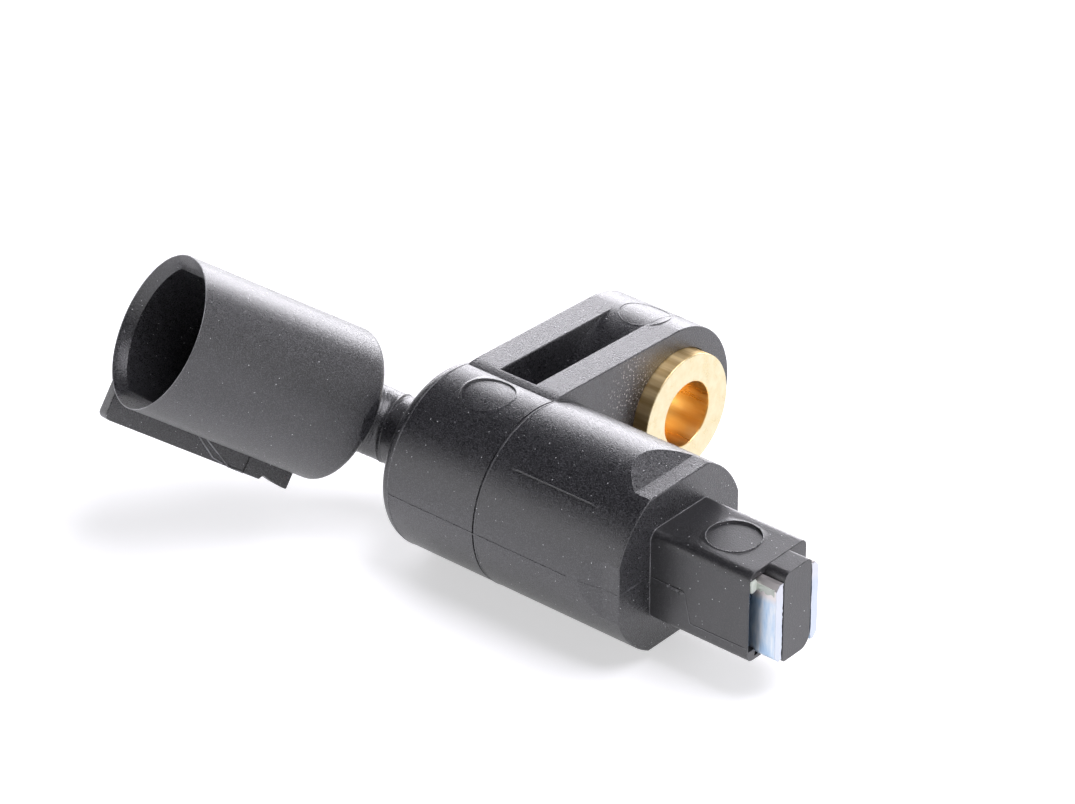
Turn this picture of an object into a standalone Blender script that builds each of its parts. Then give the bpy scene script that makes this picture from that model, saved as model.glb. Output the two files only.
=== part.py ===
"""ABS wheel speed sensor with a bolt-on arm and an angled round plug socket, in metres, +Z up.

The origin is on the axis of the bolt bush, in the plane of the bush's front face.
+X is the sensing direction, and the sensor body lies towards -Y from the bush.
"""

import math

import bmesh
import bpy
import numpy as np

MM = 0.001

# Points nearer than this are one point
MERGE = 0.001 * MM

# Clearance left around each piece that the housing is moulded over
FIT = 0.1 * MM

# Arm, lug and bolt bush
BUSH_BORE_R = 3.25 * MM
BUSH_R = 6.0 * MM
BUSH_PROUD = 1.6 * MM
LUG_R = 8.15 * MM
LUG_BOSS_R = 7.85 * MM
ARM_REACH = 19.5 * MM
ARM_THICK = 10.4 * MM
ARM_WALL = 3.1 * MM
ARM_WEB = 1.6 * MM

# Round body
BODY_R = 9.0 * MM
BODY_FRONT = 16.4 * MM
BACK_ROUND = 1.25 * MM
FLAT_DEPTH = 1.0 * MM
FLAT_LENGTH = 1.85 * MM
FLAT_RUN_OUT = 2.7 * MM

# Nose block and the tongue at its tip
NOSE_W = 8.2 * MM
NOSE_H = 9.2 * MM
NOSE_LENGTH = 11.0 * MM
NOSE_EDGE = 1.0 * MM
NOSE_COLLAR = 0.9 * MM
COLLAR_LIP = 1.0 * MM
COLLAR_CORNER = 1.6 * MM
TONGUE_W = 3.85 * MM
TONGUE_LENGTH = 2.25 * MM
TONGUE_CHAMFER = 0.85 * MM

# Pole plates, coil and magnet
PLATE_T = 0.95 * MM
PLATE_LOW = 4.2 * MM
PLATE_HIGH = 3.9 * MM
PLATE_TAIL_H = 4.0 * MM
CORE_WALL = 0.5 * MM
COIL_LENGTH = 6.9 * MM
COIL_DEPTH = 1.4 * MM
TAPE_T = 0.15 * MM
FLANGE_T = 1.0 * MM
FLANGE_RIM = 0.45 * MM
FLANGE_CORNER = 2.6 * MM
MAGNET_R = 3.0 * MM
MAGNET_LENGTH = 4.2 * MM
CUP_WALL = 1.2 * MM
DISC_T = 0.6 * MM
LEAD_R = 0.12 * MM

# Plug socket: the bend from the body axis, and the turn of the bend about that axis
BEND = math.radians(65.5)
TURN = math.radians(-37.4)
BEND_BEHIND = 19.2 * MM
BEND_R = 4.6 * MM
NECK_R = 3.4 * MM
SOCKET_REACH = 25.1 * MM
SHROUD_R = 7.45 * MM
SHROUD_LENGTH = 20.4 * MM
SHROUD_GAP = 3.3 * MM
SHROUD_EDGE = 0.45 * MM
SOCKET_R = 6.6 * MM
SOCKET_FLAT = 6.03 * MM
SOCKET_DEPTH = 15.4 * MM
MOUTH_CHAMFER = 0.7 * MM
MOUTH_CHAMFER_DEPTH = 1.1 * MM
RAIL_W = 1.6 * MM
RAIL_OFFSET = 3.97 * MM
RAIL_TOP = 9.3 * MM
RAIL_NOTCH = 0.45 * MM
RAIL_NOTCH_BACK = 3.1 * MM
RAIL_SET_BACK = 0.05 * MM

# Contact strips
STRIP_W = 1.5 * MM
STRIP_T = 0.5 * MM
STRIP_SPREAD = 1.8 * MM
BLADE_LENGTH = 8.0 * MM
SPACER_T = 2.6 * MM
STRIP_GAP = 1.3 * MM
STRIP_PROUD = 1.2 * MM

# Places along X and Y that follow from the sizes above
ARM_FRONT = -BUSH_PROUD
ARM_BACK = ARM_FRONT - ARM_THICK
BODY_BACK = ARM_BACK - BACK_ROUND
BODY_TIP = ARM_FRONT + BODY_FRONT
NOSE_TIP = BODY_TIP + NOSE_LENGTH
TONGUE_TIP = NOSE_TIP + TONGUE_LENGTH
BODY_Y = -ARM_REACH
NECK_X = ARM_FRONT - BEND_BEHIND
FRONT_WALL = 3.4 * MM
CHAMBER_TIP = BODY_TIP - FRONT_WALL
CARRIER_BACK = CHAMBER_TIP - FIT - NOSE_COLLAR
BOBBIN_TIP = CARRIER_BACK - FIT
COIL_TIP = BOBBIN_TIP - FLANGE_T
COIL_BACK = COIL_TIP - COIL_LENGTH
BOBBIN_BACK = COIL_BACK - FLANGE_T
MAGNET_BACK = BOBBIN_BACK - FIT - MAGNET_LENGTH
CUP_BACK = MAGNET_BACK - FIT - DISC_T
STRIP_TIP = CUP_BACK - STRIP_GAP
SPACER_TIP = STRIP_TIP - STRIP_PROUD
SPACER_BACK = SPACER_TIP - SPACER_T
CUP_R = MAGNET_R + FIT + CUP_WALL
PLATE_IN = TONGUE_W / 2 + FIT
PLATE_OUT = PLATE_IN + PLATE_T
CORE_Y = PLATE_OUT + FIT + CORE_WALL
CORE_Z = PLATE_TAIL_H / 2 + FIT + CORE_WALL
FLANGE_Y = CORE_Y + COIL_DEPTH + TAPE_T + 2 * FIT + FLANGE_RIM
FLANGE_Z = CORE_Z + COIL_DEPTH + TAPE_T + 2 * FIT + FLANGE_RIM
COLLAR_Y = NOSE_W / 2 + COLLAR_LIP
COLLAR_Z = NOSE_H / 2 + 0.5 * COLLAR_LIP
FLANGE_SPAN = math.hypot(FLANGE_Y - FLANGE_CORNER, FLANGE_Z - FLANGE_CORNER) + FLANGE_CORNER
COLLAR_SPAN = math.hypot(COLLAR_Y - COLLAR_CORNER, COLLAR_Z - COLLAR_CORNER) + COLLAR_CORNER
CHAMBER_R = max(FLANGE_SPAN, COLLAR_SPAN) + 1.5 * FIT
ROUND = 72

# Directions: the socket axis S, and U and V across it, with V square to the body axis
X_AXIS = np.array([1.0, 0.0, 0.0])
W_AXIS = np.array([0.0, math.cos(TURN), math.sin(TURN)])
V_AXIS = np.array([0.0, math.sin(TURN), -math.cos(TURN)])
S_AXIS = math.cos(BEND) * X_AXIS + math.sin(BEND) * W_AXIS
U_AXIS = -math.sin(BEND) * X_AXIS + math.cos(BEND) * W_AXIS
Y_AXIS = np.array([0.0, 1.0, 0.0])
Z_AXIS = np.array([0.0, 0.0, 1.0])
BEND_POINT = np.array([NECK_X, BODY_Y, 0.0])
MOUTH = BEND_POINT - SOCKET_REACH * S_AXIS


def clear_scene():
    for obj in list(bpy.data.objects):
        bpy.data.objects.remove(obj, do_unlink=True)


def material(name, colour, roughness, metallic=0.0):
    made = bpy.data.materials.new(name)
    made.use_nodes = True
    shader = made.node_tree.nodes["Principled BSDF"]
    shader.inputs["Base Color"].default_value = (*colour, 1.0)
    shader.inputs["Roughness"].default_value = roughness
    shader.inputs["Metallic"].default_value = metallic
    made.diffuse_color = (*colour, 1.0)
    return made


def finish(obj, surface):
    """Gives the object its material and smooth round faces with sharp corners."""
    obj.data.materials.clear()
    obj.data.materials.append(surface)
    obj.data.shade_smooth()
    obj.data.set_sharp_from_angle(angle=math.radians(32))


def loft(name, rings, wrap=False):
    """A closed solid through rings of equal point count, capped at both ends or joined end to start."""
    count = len(rings[0])
    points = np.concatenate([np.asarray(ring) for ring in rings])
    body = bmesh.new()
    verts = [body.verts.new(point) for point in points]
    spans = len(rings) if wrap else len(rings) - 1
    for i in range(spans):
        here, there = i * count, (i + 1) % len(rings) * count
        for j in range(count):
            k = (j + 1) % count
            body.faces.new((verts[here + j], verts[here + k], verts[there + k], verts[there + j]))
    if not wrap:
        body.faces.new(verts[:count])
        body.faces.new(verts[-count:])
    bmesh.ops.recalc_face_normals(body, faces=body.faces)
    if body.calc_volume(signed=True) < 0:
        bmesh.ops.reverse_faces(body, faces=body.faces)
    mesh = bpy.data.meshes.new(name)
    body.to_mesh(mesh)
    body.free()
    obj = bpy.data.objects.new(name, mesh)
    bpy.context.scene.collection.objects.link(obj)
    return obj


def tidy(mesh):
    """Merges points closer than a thousandth of a millimetre, and flattens the slivers that leaves."""
    body = bmesh.new()
    body.from_mesh(mesh)
    bmesh.ops.remove_doubles(body, verts=body.verts, dist=MERGE)
    bmesh.ops.dissolve_degenerate(body, edges=body.edges, dist=MERGE)
    body.to_mesh(mesh)
    body.free()


def combine(target, tools, operation):
    """Joins the tools to the target one after the other, or cuts them from it, and keeps one plain mesh."""
    for tool in tools:
        step = target.modifiers.new(tool.name, "BOOLEAN")
        step.operation = operation
        step.solver = "EXACT"
        step.object = tool
        bpy.context.view_layer.update()
        graph = bpy.context.evaluated_depsgraph_get()
        result = bpy.data.meshes.new_from_object(target.evaluated_get(graph))
        target.modifiers.clear()
        tidy(result)
        target.data = result
        bpy.data.objects.remove(tool, do_unlink=True)
    return target


def place(outline, origin, first, second):
    """The outline's pairs laid in the plane through origin along two directions."""
    flat = np.asarray(outline, float)
    return np.asarray(origin) + flat[:, :1] * first + flat[:, 1:] * second


def circle(radius, count=ROUND):
    angle = np.arange(count) * 2 * np.pi / count
    return np.stack([radius * np.cos(angle), radius * np.sin(angle)], 1)


def rounded(half_w, half_h, radius, steps=5):
    """A rectangle outline with rounded corners, given by its half width and half height."""
    pairs = []
    for corner, (a, b) in enumerate(((1, 1), (-1, 1), (-1, -1), (1, -1))):
        turn = np.linspace(corner * np.pi / 2, (corner + 1) * np.pi / 2, steps + 1)
        pairs.append(np.stack([a * (half_w - radius) + radius * np.cos(turn),
                               b * (half_h - radius) + radius * np.sin(turn)], 1))
    return np.concatenate(pairs)


def prism(name, outline, x0, x1, y=0.0):
    """An outline in Y and Z, run along X from x0 to x1."""
    return loft(name, [place(outline, (x, y, 0.0), Y_AXIS, Z_AXIS) for x in (x0, x1)])


def box(name, low, high):
    y0, y1, z0, z1 = low[1], high[1], low[2], high[2]
    return prism(name, [(y0, z0), (y1, z0), (y1, z1), (y0, z1)], low[0], high[0])


def turned(name, profile, y=0.0, count=ROUND, wrap=False):
    """A profile of pairs (x, radius), turned about an axis along X."""
    rings = [place(circle(r, count), (x, y, 0.0), Y_AXIS, Z_AXIS) for x, r in profile]
    return loft(name, rings, wrap)


def along_socket(name, profile, outlines):
    """Rings along the socket axis: each depth from the mouth with its outline in U and V."""
    rings = [place(outline, MOUTH + depth * S_AXIS, U_AXIS, V_AXIS)
             for depth, outline in zip(profile, outlines)]
    return loft(name, rings)


def bend_frames(start_x, end_depth, steps=10):
    """Points and outward directions of the centre line from the body round the bend to the socket."""
    tangent = BEND_R * math.tan(BEND / 2)
    centre = BEND_POINT + tangent * X_AXIS - BEND_R * W_AXIS
    points = [np.array([start_x, BODY_Y, 0.0])]
    outward = [W_AXIS]
    for angle in np.linspace(0, BEND, steps + 1):
        away = math.cos(angle) * W_AXIS - math.sin(angle) * X_AXIS
        points.append(centre + BEND_R * away)
        outward.append(away)
    points.append(MOUTH + end_depth * S_AXIS)
    outward.append(outward[-1])
    return points, outward


def bent(name, outline, start_x, end_depth, shift=0.0):
    """An outline swept along the bend, moved sideways along V by shift."""
    points, outward = bend_frames(start_x, end_depth)
    rings = [place(outline, point + shift * V_AXIS, away, V_AXIS)
             for point, away in zip(points, outward)]
    return loft(name, rings)


def body_solid():
    turn = np.linspace(0, np.pi / 2, 7)
    profile = [(BODY_BACK + BACK_ROUND * (1 - math.sin(a)), BODY_R - BACK_ROUND * (1 - math.cos(a)))
               for a in turn[::-1]]
    return turned("housing", profile + [(BODY_TIP, BODY_R)], BODY_Y)


def arm_outline():
    """The side view of the arm: the lug's arc with straight edges that meet the body at a tangent."""
    lean = math.asin((BODY_R - LUG_R) / ARM_REACH)
    arc = np.linspace(np.pi / 2 - lean, -np.pi / 2 + lean, 37)
    pairs = [(LUG_R * math.cos(a), LUG_R * math.sin(a)) for a in arc]
    near = BODY_R - 0.03 * MM
    foot = (BODY_Y + near * math.sin(lean), near * math.cos(lean))
    return [(BODY_Y, 0.5 * foot[1]), foot] + pairs + [(foot[0], -foot[1]), (BODY_Y, -0.5 * foot[1])]


def pocket(name, side):
    """One of the two pockets in the arm, above or below its middle web."""
    end = -0.21 * LUG_BOSS_R
    start = math.acos(end / LUG_BOSS_R)
    stop = math.pi - math.asin(ARM_WEB / 2 / LUG_BOSS_R)
    arc = [(LUG_BOSS_R * math.cos(a), side * LUG_BOSS_R * math.sin(a)) for a in np.linspace(start, stop, 15)]
    near = BODY_Y + 0.45 * BODY_R
    over = 1.5 * BODY_R
    outline = [(near, side * over), (end, side * over)] + arc + [(near, side * ARM_WEB / 2)]
    return prism(name, outline, ARM_BACK + ARM_WALL, ARM_FRONT - ARM_WALL)


def arm_solid():
    arm = prism("arm", arm_outline(), ARM_BACK, ARM_FRONT)
    return combine(arm, [pocket("pocket_top", 1), pocket("pocket_low", -1)], "DIFFERENCE")


def rail_outline():
    """The side view of the rail in depth and V, with the notch and ramp near its closed end."""
    top, root = RAIL_TOP, 0.75 * SHROUD_R
    notch = SHROUD_LENGTH - RAIL_NOTCH_BACK
    front, back = RAIL_SET_BACK, SHROUD_LENGTH - RAIL_SET_BACK
    return [(front, root), (front, top - 0.5 * MM), (front + 0.15 * MM, top - 0.15 * MM),
            (front + 0.5 * MM, top), (notch, top), (notch + 0.35 * MM, top - RAIL_NOTCH),
            (notch + 1.1 * MM, top - 0.2 * MM), (notch + 2.0 * MM, top), (back, top), (back, root)]


def mouth_cutters():
    """The socket: a conical lead-in that narrows to a round bore with two flat sides."""
    wide, narrow = SOCKET_R + MOUTH_CHAMFER, 0.97 * SOCKET_FLAT
    slab = circle(SOCKET_R)
    slab[:, 1] = np.clip(slab[:, 1], -SOCKET_FLAT, SOCKET_FLAT)
    slope = MOUTH_CHAMFER_DEPTH / MOUTH_CHAMFER
    over = 0.5 * MOUTH_CHAMFER_DEPTH
    lead_in = along_socket("lead_in", [-over, 0.0, slope * (wide - narrow)],
                           [circle(wide), circle(wide), circle(narrow)])
    bore = along_socket("bore", [0.5 * MOUTH_CHAMFER_DEPTH, SOCKET_DEPTH], [slab, slab])
    return [lead_in, bore]


def shroud_solid():
    edge = SHROUD_EDGE
    depths = [0.0, SHROUD_LENGTH - edge, SHROUD_LENGTH - 0.3 * edge, SHROUD_LENGTH]
    radii = [SHROUD_R, SHROUD_R, SHROUD_R - 0.3 * edge, SHROUD_R - edge]
    shroud = along_socket("shroud", depths, [circle(r) for r in radii])
    face = BODY_BACK - SHROUD_GAP
    far = 3 * SHROUD_LENGTH
    trim = box("trim", (face, BODY_Y - far, -far), (face + far, BODY_Y + far, far))
    combine(shroud, [trim], "DIFFERENCE")
    rail = loft("rail", [place(rail_outline(), MOUTH + u * U_AXIS, S_AXIS, V_AXIS)
                         for u in (RAIL_OFFSET - RAIL_W / 2, RAIL_OFFSET + RAIL_W / 2)])
    combine(shroud, [rail], "UNION")
    return combine(shroud, mouth_cutters(), "DIFFERENCE")


def neck_solid():
    edge = SHROUD_LENGTH - 1.5 * MM
    return bent("neck", circle(NECK_R, 40), BODY_BACK + 2 * BACK_ROUND, edge)


def front_flats():
    """Cutters for the four flats round the body's tip, each with a sloping run-out."""
    cutters = []
    back = BODY_TIP - FLAT_LENGTH
    for name, across, out, depth in (("flat_top", Y_AXIS, Z_AXIS, FLAT_DEPTH),
                                     ("flat_low", Y_AXIS, -Z_AXIS, FLAT_DEPTH),
                                     ("flat_left", Z_AXIS, -Y_AXIS, 0.5 * FLAT_DEPTH),
                                     ("flat_right", Z_AXIS, Y_AXIS, 0.5 * FLAT_DEPTH)):
        level = BODY_R - depth
        run = FLAT_RUN_OUT * (depth + 0.3 * MM) / FLAT_DEPTH
        over = BODY_R + 0.3 * MM
        side = [(back - run, over), (back, level), (BODY_TIP + 1 * MM, level), (BODY_TIP + 1 * MM, over)]
        centre = np.array([0.0, BODY_Y, 0.0])
        rings = [place(side, centre + s * BODY_R * across, X_AXIS, out) for s in (-1, 1)]
        cutters.append(loft(name, rings))
    return cutters


def chamber_cutters():
    """The room inside the body: the nose opening, the coil chamber and the strip chamber."""
    nose = prism("opening", rounded(NOSE_W / 2 + FIT, NOSE_H / 2 + FIT, NOSE_EDGE),
                 CHAMBER_TIP - 1 * MM, BODY_TIP + 1 * MM, BODY_Y)
    strip_r = CUP_R + FIT
    chamber = turned("chamber", [(SPACER_BACK - FIT, strip_r), (STRIP_TIP + 0.6 * MM, strip_r),
                                 (STRIP_TIP + 0.8 * MM, CHAMBER_R), (CHAMBER_TIP, CHAMBER_R)], BODY_Y, 48)
    channels = [bent(f"channel_{i}", strip_section(FIT), SPACER_BACK + 0.5 * MM,
                     SOCKET_DEPTH - 0.5 * MM, side * STRIP_SPREAD) for i, side in enumerate((-1, 1))]
    return [nose, chamber] + channels


def housing():
    """The moulded housing: body, arm, neck and socket in one piece."""
    whole = combine(body_solid(), [arm_solid(), neck_solid(), shroud_solid()], "UNION")
    hole = turned("bush_hole", [(ARM_BACK - 1 * MM, BUSH_R + FIT), (ARM_FRONT + 1 * MM, BUSH_R + FIT)])
    combine(whole, [hole] + front_flats(), "DIFFERENCE")
    combine(whole, chamber_cutters(), "DIFFERENCE")
    finish(whole, material("black_moulding", (0.035, 0.035, 0.038), 0.55))


def bush():
    """The metal bolt bush, a plain tube with chamfered rims."""
    rim, lip = 0.3 * MM, 0.35 * MM
    back = ARM_BACK - 0.15 * MM
    profile = [(back, BUSH_BORE_R + lip), (back, BUSH_R - rim), (back + rim, BUSH_R), (-rim, BUSH_R),
               (0.0, BUSH_R - rim), (0.0, BUSH_BORE_R + lip), (-lip, BUSH_BORE_R), (back + lip, BUSH_BORE_R)]
    finish(turned("mounting_bush", profile, wrap=True), material("bush_brass", (0.80, 0.60, 0.28), 0.25, 1.0))


def plate_outline(gap=0.0):
    """The side view of a pole plate in X and Z: a tall head in the nose and a narrow tail in the coil."""
    tail = PLATE_TAIL_H / 2 + gap
    back, front = BOBBIN_BACK + FIT - gap, TONGUE_TIP + gap
    step = CARRIER_BACK + 2.2 * MM
    return [(back, -tail), (step - gap, -tail), (step - gap, -PLATE_LOW - gap), (front, -PLATE_LOW - gap),
            (front, PLATE_HIGH + gap), (step - gap, PLATE_HIGH + gap), (step - gap, tail), (back, tail)]


def plate(name, side, gap=0.0):
    centre = np.array([0.0, BODY_Y, 0.0])
    rings = [place(plate_outline(gap), centre + side * y * Y_AXIS, X_AXIS, Z_AXIS)
             for y in (PLATE_IN - gap, PLATE_OUT + gap)]
    return loft(name, rings)


def plates():
    steel = material("plate_steel", (0.62, 0.65, 0.70), 0.3, 1.0)
    for name, side in (("pole_plate_left", -1), ("pole_plate_right", 1)):
        finish(plate(name, side), steel)


def plate_slots():
    return [plate(f"slot_{i}", side, FIT) for i, side in enumerate((-1, 1))]


def carrier():
    """The nose block, its tongue and the collar that the housing grips."""
    block = prism("nose_carrier", rounded(NOSE_W / 2, NOSE_H / 2, NOSE_EDGE),
                  CARRIER_BACK + 0.5 * NOSE_COLLAR, NOSE_TIP, BODY_Y)
    collar = prism("collar", rounded(COLLAR_Y, COLLAR_Z, COLLAR_CORNER),
                   CARRIER_BACK, CARRIER_BACK + NOSE_COLLAR, BODY_Y)
    half_w, half_h, cut = TONGUE_W / 2, NOSE_H / 2, TONGUE_CHAMFER
    outline = [(half_w, -half_h + cut), (half_w, half_h - cut), (half_w - cut, half_h), (cut - half_w, half_h),
               (-half_w, half_h - cut), (-half_w, cut - half_h), (cut - half_w, -half_h), (half_w - cut, -half_h)]
    inset = 0.985 * np.array(outline)
    tongue = prism("tongue", inset, NOSE_TIP - 1 * MM, TONGUE_TIP, BODY_Y)
    combine(block, [collar, tongue], "UNION")
    combine(block, plate_slots(), "DIFFERENCE")
    finish(block, material("nose_moulding", (0.03, 0.03, 0.033), 0.38))


def bobbin():
    """The coil former: core, two flanges and the cup that holds the magnet."""
    core = prism("coil_bobbin", rounded(CORE_Y, CORE_Z, 0.6 * MM), BOBBIN_BACK, BOBBIN_TIP, BODY_Y)
    rim = rounded(FLANGE_Y, FLANGE_Z, FLANGE_CORNER)
    cup = turned("cup", [(CUP_BACK, CUP_R), (COIL_BACK - 0.3 * FLANGE_T, CUP_R)], BODY_Y, 48)
    combine(core, [prism("flange_back", rim, BOBBIN_BACK, COIL_BACK, BODY_Y),
                   prism("flange_front", rim, COIL_TIP, BOBBIN_TIP, BODY_Y), cup], "UNION")
    bore = turned("bore", [(CUP_BACK - 1 * MM, MAGNET_R + FIT), (BOBBIN_BACK, MAGNET_R + FIT)], BODY_Y, 48)
    combine(core, [bore] + plate_slots(), "DIFFERENCE")
    finish(core, material("bobbin_moulding", (0.75, 0.72, 0.64), 0.5))


def sleeve(name, gap, thick, ends):
    """A rectangular sleeve round the bobbin core, between its two flanges."""
    inner = (CORE_Y + gap, CORE_Z + gap, 0.7 * MM + 0.9 * gap)
    outer = (CORE_Y + gap + thick, CORE_Z + gap + thick, 0.7 * MM + 0.9 * (gap + thick))
    x0, x1 = COIL_BACK + ends, COIL_TIP - ends
    rings = [place(rounded(*size), (x, BODY_Y, 0.0), Y_AXIS, Z_AXIS)
             for x, size in ((x0, inner), (x1, inner), (x1, outer), (x0, outer))]
    return loft(name, rings, wrap=True)


def coil():
    finish(sleeve("coil_winding", FIT, COIL_DEPTH, FIT), material("coil_copper", (0.62, 0.28, 0.12), 0.35, 1.0))
    finish(sleeve("coil_tape", FIT + COIL_DEPTH + 0.5 * FIT, TAPE_T, 0.3 * MM),
           material("tape_amber", (0.55, 0.36, 0.10), 0.4))


def magnet():
    edge = 0.3 * MM
    front = MAGNET_BACK + MAGNET_LENGTH
    finish(turned("magnet", [(MAGNET_BACK, MAGNET_R - edge), (MAGNET_BACK + edge, MAGNET_R),
                             (front - edge, MAGNET_R), (front, MAGNET_R - edge)], BODY_Y, 48),
           material("magnet_grey", (0.20, 0.20, 0.21), 0.35, 0.9))
    finish(turned("backing_disc", [(CUP_BACK, MAGNET_R - 0.5 * FIT), (CUP_BACK + DISC_T, MAGNET_R - 0.5 * FIT)],
                  BODY_Y, 48), material("disc_steel", (0.55, 0.56, 0.58), 0.35, 1.0))


def strip_section(gap=0.0):
    half_t, half_w = STRIP_T / 2 + gap, STRIP_W / 2 + gap
    return [(half_t, -half_w), (half_t, half_w), (-half_t, half_w), (-half_t, -half_w)]


def strips():
    """Two bent contact strips, from the coil leads to the blades in the socket."""
    tin = material("strip_tin", (0.72, 0.72, 0.70), 0.3, 1.0)
    for name, side in (("contact_strip_left", -1), ("contact_strip_right", 1)):
        finish(bent(name, strip_section(), STRIP_TIP, SOCKET_DEPTH - BLADE_LENGTH, side * STRIP_SPREAD), tin)


def spacer():
    """The round insert that keeps the two strips apart."""
    disc = turned("strip_spacer", [(SPACER_BACK, CUP_R), (SPACER_TIP, CUP_R)], BODY_Y, 48)
    slots = []
    for side in (-1, 1):
        ends = [place(strip_section(FIT), np.array([x, BODY_Y, 0.0]) + side * STRIP_SPREAD * V_AXIS,
                      W_AXIS, V_AXIS) for x in (SPACER_BACK - 1 * MM, SPACER_TIP + 1 * MM)]
        slots.append(loft(f"spacer_slot_{side + 1}", ends))
    combine(disc, slots, "DIFFERENCE")
    finish(disc, material("spacer_moulding", (0.06, 0.06, 0.065), 0.5))


def smooth_path(stations, count=28):
    """A smooth line through the stations, each a place along X and a distance from the body axis."""
    stations = np.asarray(stations, float)
    padded = np.concatenate([[2 * stations[0] - stations[1]], stations, [2 * stations[-1] - stations[-2]]])
    line = []
    for t in np.linspace(0, len(stations) - 1 - 1e-9, count):
        i, f = int(t), t - int(t)
        a, b, c, d = padded[i:i + 4]
        line.append(0.5 * (2 * b + (c - a) * f + (2 * a - 5 * b + 4 * c - d) * f ** 2
                           + (3 * b - a - 3 * c + d) * f ** 3))
    return np.array(line)


def lead_stations():
    """The coil lead leaves the tape, passes over the back flange and turns in to the strip."""
    out = CHAMBER_R - 3 * LEAD_R
    return [(COIL_BACK + 0.16 * COIL_LENGTH, out - 0.32 * COIL_DEPTH),
            (COIL_BACK + 0.07 * COIL_LENGTH, out - 0.1 * COIL_DEPTH),
            (BOBBIN_BACK + 0.3 * FLANGE_T, out), (BOBBIN_BACK - 0.9 * FLANGE_T, out - 0.2 * FLANGE_T),
            (CUP_BACK + 0.2 * MAGNET_LENGTH, CUP_R + 0.5 * CUP_WALL),
            (CUP_BACK - 0.4 * CUP_WALL, CUP_R - 0.75 * CUP_WALL),
            (STRIP_TIP + 0.9 * STRIP_T, STRIP_SPREAD + 0.6 * STRIP_T)]


def leads():
    copper = material("lead_copper", (0.66, 0.30, 0.12), 0.3, 1.0)
    path = smooth_path(lead_stations())
    heading = np.gradient(path, axis=0)
    heading /= np.linalg.norm(heading, axis=1)[:, None]
    for name, side in (("coil_lead_left", -1), ("coil_lead_right", 1)):
        rings = []
        for (x, out), (dx, dr) in zip(path, heading):
            point = np.array([x, BODY_Y, 0.0]) + side * out * V_AXIS
            across = -dr * X_AXIS + dx * side * V_AXIS
            rings.append(place(circle(LEAD_R, 10), point, across, W_AXIS))
        finish(loft(name, rings), copper)


def joints():
    """The drops of solder on the front end of each strip, round the end of its lead."""
    solder = material("solder", (0.60, 0.61, 0.63), 0.35, 1.0)
    radius = 0.42 * MM
    for name, side in (("solder_joint_left", -1), ("solder_joint_right", 1)):
        middle = np.array([STRIP_TIP - 0.75 * MM, BODY_Y, 0.0]) + side * STRIP_SPREAD * V_AXIS
        base = middle + (STRIP_T / 2) * W_AXIS
        heights = np.linspace(0, 1, 5)
        rings = [place(circle(radius * math.sqrt(1 - 0.85 * h * h), 20), base + 0.5 * radius * h * W_AXIS,
                       X_AXIS, V_AXIS) for h in heights]
        finish(loft(name, rings), solder)


def resin_drop():
    """A drop of pale resin on the nose's end face, beside the tongue and over the left plate."""
    radius = 0.5 * MM
    y, z = BODY_Y - PLATE_OUT - 0.5 * MM, PLATE_HIGH - 0.5 * MM
    rings = [place(circle(radius * math.sqrt(1 - 0.9 * h * h), 24), (NOSE_TIP + 0.35 * MM * h, y, z), Y_AXIS, Z_AXIS)
             for h in np.linspace(0, 1, 6)]
    finish(loft("resin_drop", rings), material("resin_pale", (0.55, 0.60, 0.55), 0.3))


def main():
    clear_scene()
    housing()
    bush()
    carrier()
    plates()
    bobbin()
    coil()
    magnet()
    strips()
    spacer()
    leads()
    joints()
    resin_drop()


main()
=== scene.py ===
"""Looks of the wheel speed sensor: black moulded housing, brass bush, sensing nose and pole plates.

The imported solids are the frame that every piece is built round. Sizes are in millimetres
in the part's own frame, and MM turns them into metres where a mesh is made.
"""

import math

import bmesh
import bpy
import numpy as np
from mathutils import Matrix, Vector


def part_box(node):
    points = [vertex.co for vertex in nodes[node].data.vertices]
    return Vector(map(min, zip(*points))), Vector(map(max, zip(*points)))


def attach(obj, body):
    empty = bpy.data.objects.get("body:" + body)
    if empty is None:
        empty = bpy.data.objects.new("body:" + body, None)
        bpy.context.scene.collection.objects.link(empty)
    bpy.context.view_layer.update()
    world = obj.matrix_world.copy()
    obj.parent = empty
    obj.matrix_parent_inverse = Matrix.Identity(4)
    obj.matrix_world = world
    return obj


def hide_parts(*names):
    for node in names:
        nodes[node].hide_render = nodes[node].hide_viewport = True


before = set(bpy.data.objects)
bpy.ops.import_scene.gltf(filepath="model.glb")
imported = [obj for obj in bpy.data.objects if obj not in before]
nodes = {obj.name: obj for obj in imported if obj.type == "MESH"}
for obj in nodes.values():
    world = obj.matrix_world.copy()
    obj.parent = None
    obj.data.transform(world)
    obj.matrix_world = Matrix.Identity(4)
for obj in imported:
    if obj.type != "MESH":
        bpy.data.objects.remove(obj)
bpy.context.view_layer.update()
MM = 0.001

# Camera
# A long lens looks at the sensor from its nose end, to one side and above, as the photograph does.
# The image is taken to be 1075 x 804 pixels, with the picture's middle on the lens axis.
CAMERA_AZIMUTH, CAMERA_ELEVATION = math.radians(40.325), math.radians(31.176)
CAMERA_PLACE = (0.2440, -0.3090, 0.2394)
SENSOR_WIDTH = 36.0
FOCAL_PIXELS, IMAGE_WIDTH = 4942.8, 1075

lens = bpy.data.cameras.new("camera")
lens.sensor_width = SENSOR_WIDTH
lens.lens = SENSOR_WIDTH * FOCAL_PIXELS / IMAGE_WIDTH
lens.clip_start, lens.clip_end = 0.01, 20.0
camera = bpy.data.objects.new("camera", lens)
camera.location = CAMERA_PLACE
camera.rotation_euler = (math.pi / 2 - CAMERA_ELEVATION, 0.0, CAMERA_AZIMUTH)
bpy.context.scene.collection.objects.link(camera)
bpy.context.scene.camera = camera

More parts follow.
